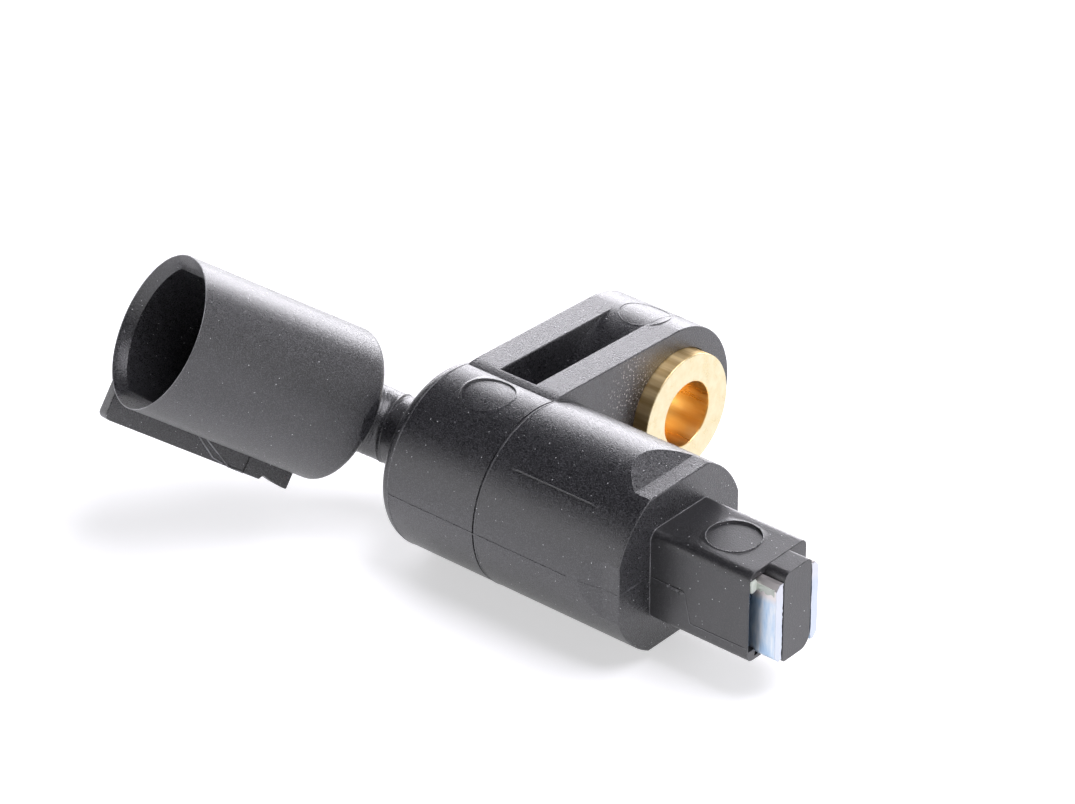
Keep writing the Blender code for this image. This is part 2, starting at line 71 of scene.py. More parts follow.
# Studio
# A white table and horizon, two soft lamps low down behind and beside the sensor, one high up,
# and a dark ceiling, which gives the black plastic a dark band between two pale ones.
FLOOR_Z = -9.02 * MM
FLOOR_HALF = 1.6
FLOOR_LIFT = 0.50
LAMP_DISTANCE = 0.8
WHITE = (1.0, 1.0, 1.0, 1.0)

scene = bpy.context.scene
scene.view_settings.view_transform = "Standard"


def wire(tree, source, target):
    """Joins an output socket to an input socket."""
    tree.links.new(source, target)


def node(tree, kind, **settings):
    """A shader node of that kind, with its properties, and its inputs by name, set."""
    made = tree.nodes.new(kind)
    for key, value in settings.items():
        if key in made.inputs:
            made.inputs[key].default_value = value
        else:
            setattr(made, key, value)
    return made


def maths(tree, operation, first, second):
    """The result of one operation on two values, each of them a socket or a number."""
    made = node(tree, "ShaderNodeMath", operation=operation)
    for socket, value in zip(made.inputs, (first, second)):
        if isinstance(value, float):
            socket.default_value = value
        else:
            wire(tree, value, socket)
    return made.outputs[0]


def seen_directly(tree):
    """One where a camera, glossy or transmission ray arrives, and nought for a diffuse ray."""
    path = node(tree, "ShaderNodeLightPath")
    seen = path.outputs["Is Camera Ray"]
    for other in ("Is Glossy Ray", "Is Transmission Ray"):
        seen = maths(tree, "MAXIMUM", seen, path.outputs[other])
    return seen


def studio_world():
    """White up to about nineteen degrees above the horizon, and dark from about thirty-three degrees up."""
    world = bpy.data.worlds.new("studio")
    world.use_nodes = True
    tree = world.node_tree
    tree.nodes.clear()
    place = node(tree, "ShaderNodeTexCoord")
    split = node(tree, "ShaderNodeSeparateXYZ")
    wire(tree, place.outputs["Generated"], split.inputs[0])
    ramp = node(tree, "ShaderNodeValToRGB")
    stops = ramp.color_ramp.elements
    stops[0].position, stops[0].color = 0.0, WHITE
    stops[1].position, stops[1].color = 1.0, (0.03, 0.03, 0.033, 1)
    for position, level in ((0.32, 1.0), (0.46, 0.25), (0.55, 0.03)):
        stop = stops.new(position)
        stop.color = (level, level * 0.985, min(level * 1.05, 1.0), 1)
    wire(tree, split.outputs["Z"], ramp.inputs[0])
    back = node(tree, "ShaderNodeBackground", Strength=1.0)
    wire(tree, ramp.outputs["Color"], back.inputs["Color"])
    out = node(tree, "ShaderNodeOutputWorld")
    wire(tree, back.outputs[0], out.inputs["Surface"])
    scene.world = world


def studio_floor():
    """A flat white table: a diffuse surface that takes the shadow, raised to white where it is seen."""
    mesh = bpy.data.meshes.new("table")
    h, z = FLOOR_HALF, FLOOR_Z
    mesh.from_pydata([(-h, -h, z), (h, -h, z), (h, h, z), (-h, h, z)], [], [(0, 1, 2, 3)])
    table = bpy.data.objects.new("table", mesh)
    scene.collection.objects.link(table)
    surface = bpy.data.materials.new("table_white")
    surface.use_nodes = True
    tree = surface.node_tree
    shader = tree.nodes["Principled BSDF"]
    shader.inputs["Base Color"].default_value = (0.84, 0.84, 0.86, 1)
    shader.inputs["Roughness"].default_value = 0.9
    shader.inputs["Specular IOR Level"].default_value = 0.0
    shader.inputs["Emission Color"].default_value = WHITE
    lift = maths(tree, "MULTIPLY", seen_directly(tree), FLOOR_LIFT)
    wire(tree, lift, shader.inputs["Emission Strength"])
    mesh.materials.append(surface)


def soft_lamp(name, azimuth, elevation, wide, high, glow):
    """A flat lamp that faces the sensor: its size is in metres, and glow is its brightness, 1 for white."""
    data = bpy.data.lights.new(name, "AREA")
    data.shape, data.size, data.size_y = "RECTANGLE", wide, high
    data.energy = glow * math.pi * wide * high
    data.color = (1.0, 0.985, 1.05)
    a, e = math.radians(azimuth), math.radians(elevation)
    away = Vector((math.sin(a) * math.cos(e), math.cos(a) * math.cos(e), math.sin(e)))
    lamp = bpy.data.objects.new(name, data)
    lamp.location = LAMP_DISTANCE * away
    lamp.rotation_euler = away.to_track_quat("Z", "Y").to_euler()
    scene.collection.objects.link(lamp)


studio_world()
studio_floor()
soft_lamp("back_lamp", -30.0, 12.0, 0.84, 0.34, 7.0)
soft_lamp("left_lamp", -145.0, 14.0, 0.60, 0.34, 0.5)
soft_lamp("high_lamp", 66.0, 66.0, 0.55, 0.55, 6.0)

# Housing: round body
# The barrel of the one-piece black nylon moulding, with a rounded back, four flats round its tip,
# a narrow groove beside the joint of the mould's halves, and the mark of an ejector pin on top.
AXIS_Y = -19.5
BARREL_R = 8.96
BARREL_BACK, BARREL_TIP = -13.25, 14.8
BACK_ROUND = 1.25
TIP_ROUND = 0.12
FLAT_START = 12.95
SIDE_FLAT = 8.46
# Each flat is the turn that it faces, its distance from the axis, and its backward slope.
FLATS = ((90.0, 7.96, 0.370), (270.0, 7.96, 0.370), (180.0, SIDE_FLAT, 0.200), (0.0, SIDE_FLAT, 0.200))
GROOVE_BACK, GROOVE_FRONT, GROOVE_DEPTH = -1.84, -1.66, 0.12
JOINT_X, BACK_LINE_X = -1.56, -12.0
RIB_TURN, RIB_START, RIB_STOP = 133.2, 0.45, 10.6
PIN_R = 2.5
PIN_X, PIN_TURN = -6.93, 94.6
PIN_REACH = 19.5
COLUMN_STEP = 1.5


def solid(name, points, faces):
    """A closed mesh from points in millimetres and corner lists: near points merged, faces outwards."""
    mesh = bpy.data.meshes.new(name)
    mesh.from_pydata((np.asarray(points, float).reshape(-1, 3) * MM).tolist(), [], [list(f) for f in faces])
    body = bmesh.new()
    body.from_mesh(mesh)
    bmesh.ops.remove_doubles(body, verts=body.verts, dist=2e-7)
    bmesh.ops.recalc_face_normals(body, faces=body.faces)
    if body.calc_volume(signed=True) < 0:
        bmesh.ops.reverse_faces(body, faces=body.faces)
    body.to_mesh(mesh)
    body.free()
    obj = bpy.data.objects.new(name, mesh)
    scene.collection.objects.link(obj)
    return obj


def grid_quads(rows, columns, start=0, hole=None):
    """Corner lists of a grid that closes round its second direction, less a hole of cells."""
    i, j = np.meshgrid(np.arange(rows - 1), np.arange(columns), indexing="ij")
    k = (j + 1) % columns
    quads = np.stack([i * columns + j, i * columns + k, (i + 1) * columns + k, (i + 1) * columns + j], -1)
    if hole is None:
        return quads.reshape(-1, 4) + start
    i0, i1, j0, j1 = hole
    keep = ~((i >= i0) & (i < i1) & (j >= j0) & (j < j1))
    return quads[keep] + start


def end_caps(rows, columns):
    """Corner lists of the two flat ends of such a grid."""
    return [list(range(columns))[::-1], list(range((rows - 1) * columns, rows * columns))]


def closing_quads(rows, columns):
    """Corner lists that join the last row of such a grid to its first, as in a ring."""
    last = (rows - 1) * columns
    return [[last + j, last + (j + 1) % columns, (j + 1) % columns, j] for j in range(columns)]


def hole_loop(chart, hole):
    """The places round the edge of a hole in a grid, in order, as rows of a chart array."""
    i0, i1, j0, j1 = hole
    return np.concatenate([chart[i0, j0:j1], chart[i0:i1, j1], chart[i1, j1:j0:-1], chart[i1:i0:-1, j0]])


def pin_mark(loop, centre, radius, depth=0.10, lip=0.035):
    """Rings that close a hole with an ejector pin's mark, as places (a, b, height) on a surface.

    Each ring is a blend of the hole's edge and a circle at the same turn: flat ground, a low raised
    lip, a steep wall and a level floor down to one middle point."""
    arm = loop - centre
    turn = np.arctan2(arm[:, 1], arm[:, 0])
    unit = np.stack([np.cos(turn), np.sin(turn)], 1)
    ground = centre + (radius + 0.14) * unit
    plan = [(loop, 0.0), (0.5 * (loop + ground), 0.0), (ground, 0.0)]
    for out, height in ((0.07, lip), (0.02, 0.8 * lip), (-0.02, -depth), (-0.2, -depth),
                        (-0.5 * radius, -depth)):
        plan.append((centre + (radius + out) * unit, height))
    plan.append((np.repeat([centre], len(loop), 0), -depth))
    return np.stack([np.column_stack([place, np.full(len(place), height)]) for place, height in plan])


def barrel():
    """The barrel as radius over place along X and turn about the axis.

    The radius is the smallest of the round wall and the flats, whose planes lie at level / cos(turn),
    each rising backwards at its slope. One row of points follows the line where a slope runs out."""
    turns = np.sort(np.concatenate([
        np.arange(PIN_TURN - PIN_REACH - 75.0, PIN_TURN - PIN_REACH + 284.0, COLUMN_STEP) % 360,
        np.array([(c + s * math.degrees(math.acos(level / BARREL_R))) % 360
                  for c, level, _ in FLATS for s in (-1, 1)])]))
    away = [np.radians((turns - c + 180) % 360 - 180) for c, _, _ in FLATS]

    def radius(x):
        reach = np.full(np.broadcast(x, turns).shape, BARREL_R)
        for a, (_, level, slope) in zip(away, FLATS):
            plane = (level + slope * np.maximum(FLAT_START - x, 0)) / np.maximum(np.cos(a), 0.2)
            reach = np.minimum(reach, plane)
        return reach

    run_out = np.full(len(turns), FLAT_START - 0.03)
    for a, (_, level, slope) in zip(away, FLATS):
        depth = BARREL_R * np.cos(a) - level
        run_out = np.where(depth > 0, np.minimum(run_out, FLAT_START - depth / slope), run_out)
    xs, rs = [], []
    flat_back = np.ones(len(turns))
    for r in (0.0, 3.5, 6.5):
        xs.append(BARREL_BACK * flat_back)
        rs.append(r * flat_back)
    for a in np.linspace(0, math.pi / 2, 9):
        xs.append((BARREL_BACK + BACK_ROUND * (1 - math.cos(a))) * flat_back)
        rs.append((BARREL_R - BACK_ROUND + BACK_ROUND * math.sin(a)) * flat_back)
    pin_half = math.radians(PIN_REACH) * BARREL_R
    first = len(xs)
    for x in np.linspace(PIN_X - pin_half, PIN_X + pin_half, 21):
        xs.append(x * flat_back)
        rs.append(BARREL_R * flat_back)
    last = len(xs) - 1
    for x, sunk in ((GROOVE_BACK, 0.0), (GROOVE_BACK + 0.02, GROOVE_DEPTH),
                    (GROOVE_FRONT - 0.02, GROOVE_DEPTH), (GROOVE_FRONT, 0.0), (0.0, 0.0), (4.5, 0.0)):
        xs.append(x * flat_back)
        rs.append((BARREL_R - sunk) * flat_back)
    for share in (0.0, 0.6, 1.0):
        xs.append(9.0 + share * (run_out - 9.0) if share else 8.0 * flat_back)
        rs.append(BARREL_R * flat_back)
    for share in np.linspace(0, 1, 7)[1:]:
        xs.append(run_out + share * (FLAT_START - run_out))
        rs.append(radius(xs[-1]))
    rim = radius(np.full(len(turns), BARREL_TIP))
    for x in np.linspace(FLAT_START, BARREL_TIP - TIP_ROUND, 4)[1:]:
        xs.append(x * flat_back)
        rs.append(rim)
    for a in np.linspace(0, math.pi / 2, 5)[1:]:
        xs.append((BARREL_TIP - TIP_ROUND * (1 - math.sin(a))) * flat_back)
        rs.append(rim - TIP_ROUND * (1 - math.cos(a)))
    for share in (0.85, 0.6, 0.3, 0.0):
        xs.append(BARREL_TIP * flat_back)
        rs.append((rim - TIP_ROUND) * share)
    x, r = np.stack(xs), np.stack(rs)
    angle = np.radians(turns)
    points = np.stack([x, AXIS_Y + r * np.cos(angle), r * np.sin(angle)], -1)
    left = int(np.argmin(abs(turns - (PIN_TURN - PIN_REACH))))
    right = int(np.argmin(abs(turns - (PIN_TURN + PIN_REACH))))
    hole = (first, last, left, right)
    chart = np.stack([x, BARREL_R * np.broadcast_to(angle, x.shape)], -1)
    rings = pin_mark(hole_loop(chart, hole), np.array([PIN_X, BARREL_R * math.radians(PIN_TURN)]), PIN_R)
    out = BARREL_R + rings[..., 2]
    turn = rings[..., 1] / BARREL_R
    mark = np.stack([rings[..., 0], AXIS_Y + out * np.cos(turn), out * np.sin(turn)], -1)
    faces = np.concatenate([grid_quads(*x.shape, hole=hole),
                            grid_quads(*mark.shape[:2], start=x.size)])
    return solid("barrel", np.concatenate([points.reshape(-1, 3), mark.reshape(-1, 3)]), faces)


def bead(name, path, up, width, height, wrap=False, burr_and_glint=0.5):
    """A low moulding line: a rounded hump of profile points carried along a path.

    The profile lies across the path, in the directions side = path x up and up, with its foot sunk
    below the surface. The height may change from point to point, and fades at open ends. Burr is how
    pale its crest is painted: partly whitened flash, partly a painted highlight along the thin edge."""
    path, up = np.asarray(path, float), np.asarray(up, float)
    up = np.broadcast_to(up, path.shape)
    heading = np.roll(path, -1, 0) - np.roll(path, 1, 0) if wrap else np.gradient(path, axis=0)
    heading = heading / np.linalg.norm(heading, axis=1)[:, None]
    side = np.cross(heading, up)
    side /= np.linalg.norm(side, axis=1)[:, None]
    tall = np.broadcast_to(height, len(path)).astype(float).copy()
    if not wrap:
        tall[[0, -1]] *= 0.05
    across = np.array([-0.5, -0.5, -0.3, 0.0, 0.3, 0.5, 0.5]) * width
    share = np.array([0.0, 0.0, 0.8, 1.0, 0.8, 0.0, 0.0])
    foot = np.array([-0.06, 0.0, 0.0, 0.0, 0.0, 0.0, -0.06])
    rise = tall[:, None] * share + foot
    points = path[:, None] + side[:, None] * across[None, :, None] + up[:, None] * rise[..., None]
    count = len(across)
    faces = [list(f) for f in grid_quads(len(path), count)]
    faces += closing_quads(len(path), count) if wrap else end_caps(len(path), count)
    crest = np.array([0.0, 0.0, 0.5, 1.0, 0.5, 0.0, 0.0]) * burr_and_glint
    return mark_burr_and_glint(solid(name, points, faces), np.tile(crest, len(path)))


def mark_burr_and_glint(obj, values):
    """Keeps, at each point, how pale its plastic is painted: partly a whitened thin edge, partly a painted
    highlight along it.
    """
    pale = obj.data.attributes.new("burr_and_glint", "FLOAT", "POINT")
    pale.data.foreach_set("value", np.asarray(values, float))
    return obj


def round_line(x, start, stop, steps):
    """Places and outward directions on the barrel's wall, over a range of turns in degrees."""
    turn = np.radians(np.linspace(start, stop, steps))
    out = np.stack([np.zeros(steps), np.cos(turn), np.sin(turn)], 1)
    return np.array([x, AXIS_Y, 0.0]) + BARREL_R * out, out


def straight_line(start, stop, steps):
    """Evenly spaced places from one point to another."""
    return np.linspace(np.asarray(start, float), np.asarray(stop, float), steps)


def barrel_lines():
    """Lines left by the mould: round the joint of its halves, along its parting, and a crush rib."""
    rng = np.random.default_rng(7)
    lines = []
    path, out = round_line(JOINT_X, 38, 398, 241)
    lines.append(bead("joint_line", path[:-1], out[:-1], 0.16, 0.036, wrap=True, burr_and_glint=0.15))
    path, out = round_line(BACK_LINE_X, 0, 360, 241)
    lines.append(bead("back_line", path[:-1], out[:-1], 0.15, 0.036, wrap=True, burr_and_glint=0.3))
    for turn, steps in ((180.0, 150), (0.0, 40)):
        direction = np.array([0.0, math.cos(math.radians(turn)), 0.0])
        wall = np.array([0.0, AXIS_Y, 0.0]) + BARREL_R * direction
        back, tip = -12.1, 9.2
        path = straight_line(wall + [back, 0, 0], wall + [tip, 0, 0], steps)
        path[1:-1, 2] += rng.normal(0, 0.018, steps - 2)
        lines.append(bead("parting", path, direction, 0.11, 0.04 + 0.03 * rng.random(steps) ** 3, burr_and_glint=0.2))
    flat_y = AXIS_Y - SIDE_FLAT
    path = straight_line((FLAT_START, flat_y, -0.02), (BARREL_TIP - 0.05, flat_y, 0.0), 16)
    lines.append(bead("parting_flat", path, (0, -1, 0), 0.10, 0.035, burr_and_glint=0.2))
    slope = straight_line((10.5, AXIS_Y - 8.95, 0.0), (FLAT_START, flat_y, 0.0), 18)
    slope[1:-1, 2] += rng.normal(0, 0.02, 16)
    lines.append(bead("parting_slope", slope, (0, -1, 0), 0.11, 0.03 + 0.03 * rng.random(18) ** 3, burr_and_glint=0.2))
    face = straight_line((BARREL_TIP, AXIS_Y - 8.4, 0.0), (BARREL_TIP, AXIS_Y - 4.2, 0.05), 20)
    lines.append(bead("parting_face", face, (1, 0, 0), 0.10, 0.035, burr_and_glint=0.15))
    turn = math.radians(RIB_TURN)
    out = np.array([0.0, math.cos(turn), math.sin(turn)])
    wall = np.array([0.0, AXIS_Y, 0.0]) + (BARREL_R - 0.005) * out
    rib = straight_line(wall + [RIB_START, 0, 0], wall + [RIB_STOP, 0, 0], 24)
    lines.append(bead("crush_rib", rib, out, 0.36, 0.17, burr_and_glint=0.0))
    return lines


# Housing: arm
# The bolt arm: a lug with straight sides that meet the barrel at a tangent, relieved by a pocket
# above and below so that the wall stays even. Its edges are slightly rounded by the mould.
ARM_FRONT, ARM_BACK = -1.6, -12.0
LUG_R, LUG_BOSS_R = 8.13, 8.148
ARM_WALL, ARM_WEB = 3.1, 1.6
POCKET_END = 0.0
BUSH_R = 6.0
ARM_EDGE = 0.11
RING = 96
LUG_PIN = np.array([-6.2, 1.2])
LUG_PIN_R = 2.45


def loft(name, rings):
    """A closed solid through rings of equal point count, capped at both ends."""
    rings = [np.asarray(ring, float) for ring in rings]
    count = len(rings[0])
    faces = [list(f) for f in grid_quads(len(rings), count)] + end_caps(len(rings), count)
    return solid(name, np.concatenate(rings), faces)


def across_x(outline, x, y=0.0):
    """An outline of (Y, Z) pairs laid in the plane at x."""
    flat = np.asarray(outline, float)
    return np.column_stack([np.full(len(flat), x), flat[:, 0] + y, flat[:, 1]])


def circle(radius):
    """(Y, Z) pairs at even turns: the radius times the cosine and the sine."""
    turn = np.arange(RING) * 2 * np.pi / RING
    return np.stack([radius * np.cos(turn), radius * np.sin(turn)], 1)


def carve(target, tools):
    """Cuts the tools from the target, and keeps one plain mesh."""
    for tool in tools:
        step = target.modifiers.new(tool.name, "BOOLEAN")
        step.operation, step.solver, step.object = "DIFFERENCE", "EXACT", tool
        bpy.context.view_layer.update()
        result = bpy.data.meshes.new_from_object(target.evaluated_get(bpy.context.evaluated_depsgraph_get()))
        target.modifiers.clear()
        body = bmesh.new()
        body.from_mesh(result)
        bmesh.ops.remove_doubles(body, verts=body.verts, dist=5e-7)
        bmesh.ops.dissolve_degenerate(body, edges=body.edges, dist=5e-7)
        body.to_mesh(result)
        body.free()
        target.data = result
        bpy.data.objects.remove(tool)
    return target


def soften(target, width):
    """Rounds the sharp edges of a solid with a Bevel, and applies it."""
    step = target.modifiers.new("edges", "BEVEL")
    step.width, step.segments = width * MM, 3
    step.limit_method, step.angle_limit = "ANGLE", math.radians(35.0)
    bpy.context.view_layer.update()
    target.data = bpy.data.meshes.new_from_object(target.evaluated_get(bpy.context.evaluated_depsgraph_get()))
    target.modifiers.clear()
    return target


def arm():
    """The arm's side outline run along X, less two pockets and the bush's hole.

    The outline is two straight lines that touch the lug's arc and ease down into the barrel. In the
    pockets the wall of the lug runs on round the bush as a separate ring."""
    lean = math.asin((BARREL_R - LUG_R) / -AXIS_Y)
    arc = np.linspace(np.pi / 2 - lean, lean - np.pi / 2, 73)
    lug = [(LUG_R * math.cos(a), LUG_R * math.sin(a)) for a in arc]
    ease = np.array([-17.75, -17.4, -17.0, -16.5, -15.8])
    top = (LUG_R - ease * math.sin(lean)) / math.cos(lean) - 0.30 * ((-15.8 - ease) / 1.9) ** 2
    outline = [(AXIS_Y, 4.5)] + list(zip(ease, top)) + lug
    outline += list(zip(ease[::-1], -top[::-1])) + [(AXIS_Y, -4.5)]
    blade = loft("arm", [across_x(outline, x) for x in (ARM_BACK, ARM_FRONT)])
    pockets = []
    pocket_ends = (ARM_BACK + ARM_WALL, ARM_FRONT - ARM_WALL)
    for side in (1, -1):
        near_y, web = AXIS_Y + 3.3, side * ARM_WEB / 2
        shape = [(near_y, side * 12.0), (POCKET_END, side * 12.0), (POCKET_END, web), (near_y, web)]
        pockets.append(loft("pocket", [across_x(shape, x) for x in pocket_ends]))
    hole = loft("hole", [across_x(circle(BUSH_R + 0.01), x) for x in (ARM_BACK - 1, ARM_FRONT + 1)])
    soften(carve(blade, pockets + [hole]), ARM_EDGE)
    walls = (ARM_BACK + ARM_WALL - 0.2, ARM_FRONT - ARM_WALL + 0.2)
    ring = turned("lug_ring", [(walls[0], LUG_BOSS_R), (walls[1], LUG_BOSS_R), (walls[1], BUSH_R + 0.1),
                               (walls[0], BUSH_R + 0.1)], 240)
    return [blade, ring, lug_mark()]


def turned(name, profile, count):
    """A closed profile of (place along X, radius) pairs turned about the bolt axis."""
    turn = np.arange(count) * 2 * np.pi / count
    x, r = np.array(profile, float).T
    points = np.stack([np.broadcast_to(x[:, None], (len(x), count)), r[:, None] * np.cos(turn),
                       r[:, None] * np.sin(turn)], -1)
    faces = [list(f) for f in grid_quads(len(x), count)] + closing_quads(len(x), count)
    return solid(name, points, faces)


def lug_mark():
    """The raised lip of an ejector pin's mark, a ring laid on the lug's round wall."""
    turn = np.linspace(0, 2 * np.pi, 97)[:-1]
    x = LUG_PIN[0] + LUG_PIN_R * np.cos(turn)
    y = LUG_PIN[1] + LUG_PIN_R * np.sin(turn)
    z = np.sqrt(LUG_BOSS_R ** 2 - y ** 2)
    out = np.stack([np.zeros_like(y), y / LUG_BOSS_R, z / LUG_BOSS_R], 1)
    return bead("lug_mark", np.stack([x, y, z], 1), out, 0.15, 0.045, wrap=True, burr_and_glint=0.25)


# Housing: neck and plug socket
# A short elbow carries the two contacts from the barrel to the round plug socket, whose mouth points
# up, back and away from the arm. It has a thin rim, a sloping lead-in, and a bore with two flat sides.
BEND, TURN = math.radians(65.5), math.radians(-37.4)
BEND_X, BEND_R, NECK_R = -20.8, 4.6, 3.4
SOCKET_REACH = 25.1
SHELL_R, SHELL_LENGTH = 7.43, 20.38
SHELL_END_ROUND = 0.9
SOCKET_R, SOCKET_FLAT, SOCKET_DEPTH = 6.6, 6.03, 15.4
LEAD_IN, LEAD_IN_DEPTH = 0.72, 1.1
FACET_X = -16.55
X_AXIS = np.array([1.0, 0.0, 0.0])
W_AXIS = np.array([0.0, math.cos(TURN), math.sin(TURN)])
V_AXIS = np.array([0.0, math.sin(TURN), -math.cos(TURN)])
S_AXIS = math.cos(BEND) * X_AXIS + math.sin(BEND) * W_AXIS
U_AXIS = -math.sin(BEND) * X_AXIS + math.cos(BEND) * W_AXIS
BEND_POINT = np.array([BEND_X, AXIS_Y, 0.0])
MOUTH = BEND_POINT - SOCKET_REACH * S_AXIS


def socket_place(depth, u, v):
    """Places in the socket's own directions: depth from the mouth, and U and V across it."""
    depth, u, v = (np.asarray(a, float)[..., None] for a in (depth, u, v))
    return MOUTH + depth * S_AXIS + u * U_AXIS + v * V_AXIS


def shell():
    """The socket as rings from the closed end's middle, out round its edge, along the wall to the rim,
    and back down the bore. In the bore, V is held between the two flats."""
    turn = np.radians(np.arange(0, 360, 1.5))
    rows = [(SHELL_LENGTH, 0.0, False), (SHELL_LENGTH, 4.0, False)]
    for a in np.linspace(0, math.pi / 2, 9):
        rows.append((SHELL_LENGTH - SHELL_END_ROUND * (1 - math.cos(a)),
                     SHELL_R - SHELL_END_ROUND * (1 - math.sin(a)), False))
    rows += [(d, SHELL_R, False) for d in np.linspace(18.0, 0.3, 12)]
    rows += [(0.12, SHELL_R, False), (0.05, SHELL_R + 0.015, False), (0.0, SHELL_R - 0.02, False),
             (0.03, SHELL_R - 0.07, False), (0.07, SOCKET_R + LEAD_IN, False)]
    rows += [(d, SOCKET_R + LEAD_IN * (1 - d / LEAD_IN_DEPTH), "ease") for d in (0.4, 0.75)]
    rows += [(d, SOCKET_R, True) for d in (LEAD_IN_DEPTH, LEAD_IN_DEPTH + 0.1, 4.0, 9.0, SOCKET_DEPTH)]
    rows += [(SOCKET_DEPTH, 3.0, True), (SOCKET_DEPTH, 0.0, True)]
    rings = []
    for depth, radius, flats in rows:
        u, v = radius * np.cos(turn), radius * np.sin(turn)
        if flats == "ease":
            limit = SOCKET_FLAT + (radius - SOCKET_R) * 1.4
            v = np.clip(v, -limit, limit)
        elif flats:
            v = np.clip(v, -SOCKET_FLAT, SOCKET_FLAT)
        rings.append(socket_place(np.full(len(turn), depth), u, v))
    points = np.stack(rings)
    made = solid("shell", points, grid_quads(*points.shape[:2]))
    far = 60.0
    trim = loft("trim", [across_x([(-far, -far), (far, -far), (far, far), (-far, far)], x)
                         for x in (FACET_X, FACET_X + far)])
    carve(made, [trim])
    place = np.empty(len(made.data.vertices) * 3)
    made.data.vertices.foreach_get("co", place)
    depth = (place.reshape(-1, 3) / MM - MOUTH) @ S_AXIS
    # The rim's face is painted pale: a painted highlight along the mouth's thin edge, partly whitened flash.
    return mark_burr_and_glint(made, np.where(depth < 0.04, 0.9, 0.0))


def rim_flash():
    """A thin lip round the rim's outer edge, its crest painted pale: a painted highlight along the edge,
    partly whitened flash.
    """
    turn = np.linspace(0, 2 * np.pi, 241)[:-1]
    reach = SHELL_R - 0.035
    path = socket_place(np.full(240, 0.10), reach * np.cos(turn), reach * np.sin(turn))
    out = np.cos(turn)[:, None] * U_AXIS + np.sin(turn)[:, None] * V_AXIS
    return bead("rim_flash", path, out, 0.13, 0.03, wrap=True, burr_and_glint=1.0)


def neck():
    """A round section carried from the barrel's back round the bend and into the socket's closed end.

    Its radius changes a little from ring to ring and round each ring, as the skin is wrinkled."""
    tangent = BEND_R * math.tan(BEND / 2)
    centre = BEND_POINT + tangent * X_AXIS - BEND_R * W_AXIS
    bend = np.linspace(0, BEND, 25)
    away = np.cos(bend)[:, None] * W_AXIS - np.sin(bend)[:, None] * X_AXIS
    line = [np.array([x, AXIS_Y, 0.0]) for x in (-12.0, -13.0, -14.5, -16.0)]
    outward = [W_AXIS] * len(line)
    line += list(centre + BEND_R * away) + [MOUTH + d * S_AXIS for d in (20.0, 18.0, 16.5)]
    outward += list(away) + [away[-1]] * 3
    turn = np.arange(72) * 2 * np.pi / 72
    rng = np.random.default_rng(3)
    swell = NECK_R - 0.03 + 0.022 * rng.normal(0, 1, (len(line), 1)) * (1 + 0.6 * np.sin(3 * turn + 1.0))
    line, outward = np.array(line), np.array(outward)
    rings = (line[:, None] + (swell * np.cos(turn))[..., None] * outward[:, None]
             + (swell * np.sin(turn))[..., None] * V_AXIS)
    return loft("neck", rings)


# Housing: locking rail
# A square rail along the underside of the socket, for the plug's latch. It has a raised pad with a
# notch and ramp near the closed end, and two thin slanting ribs on the side towards the nose.
RAIL_U0, RAIL_U1, RAIL_PAD = 3.17, 4.78, 0.14
RAIL_ROOT, RAIL_TOP = 5.6, 9.28
RAIL_STEP = 15.45
RAIL_EDGE = 0.10


def rail_block(name, outline, u0, u1):
    """A side outline of (depth, V) pairs run across the socket along U; its root follows the wall."""
    depth, v = np.asarray(outline, float).T
    rings = []
    for u in np.linspace(u0, u1, 6):
        root = math.sqrt((SHELL_R - 0.03) ** 2 - u ** 2)
        rings.append(socket_place(depth, np.full(len(depth), u), np.where(v <= RAIL_ROOT, root, v)))
    return loft(name, rings)


def rail():
    """The bar and its pad as side outlines, and each slanting rib as a line carried by a bead.

    The bar's front corner is a quarter circle, and the pad's ramp is a quarter of a sine wave."""
    top, root, corner_r = RAIL_TOP, RAIL_ROOT, 0.55
    corner = [(0.06 + corner_r * (1 - math.cos(a)), top - corner_r * (1 - math.sin(a)))
              for a in np.linspace(0, math.pi / 2, 6)]
    bar = [(0.06, root)] + corner + [(RAIL_STEP + 0.5, top), (RAIL_STEP + 0.5, root)]
    ramp = [(17.62 + s, 8.84 + 0.40 * math.sin(s / 2.5 * math.pi / 2)) for s in np.linspace(0, 2.5, 8)]
    pad = [(RAIL_STEP, root), (RAIL_STEP, top), (17.25, top), (17.5, 8.86)]
    pad += ramp + [(20.33, 9.22), (20.33, root)]
    pieces = [soften(rail_block("rail_bar", bar, RAIL_U0, RAIL_U1), RAIL_EDGE),
              soften(rail_block("rail_pad", pad, RAIL_U0 - RAIL_PAD, RAIL_U1), RAIL_EDGE)]
    for points in ([(9.15, 7.3), (11.9, 8.95), (13.0, 9.1), (13.1, 9.12)],
                   [(10.0, 7.3), (13.75, 9.2), (13.8, 9.22), (RAIL_STEP + 0.05, 9.23)]):
        path = []
        for (d0, v0), (d1, v1) in zip(points[:-1], points[1:]):
            depth, v = np.linspace(d0, d1, 6)[:-1], np.linspace(v0, v1, 6)[:-1]
            path += list(socket_place(depth, np.full(5, RAIL_U0), v))
        path.append(socket_place(points[-1][0], RAIL_U0, points[-1][1]))
        pieces.append(bead("rail_rib", path, -U_AXIS, 0.20, 0.14, burr_and_glint=0.9))
    return pieces


# Housing: the finished moulding
# Every part of the moulding in one piece, in black glass-filled nylon with a fine spark-eroded skin,
# a little pale dust, and thin lines where the mould closed.
NOSE_HALF_W, NOSE_HALF_H = 4.1, 4.6
NOSE_CORNERS = (0.7, 1.0, 0.9, 0.7)


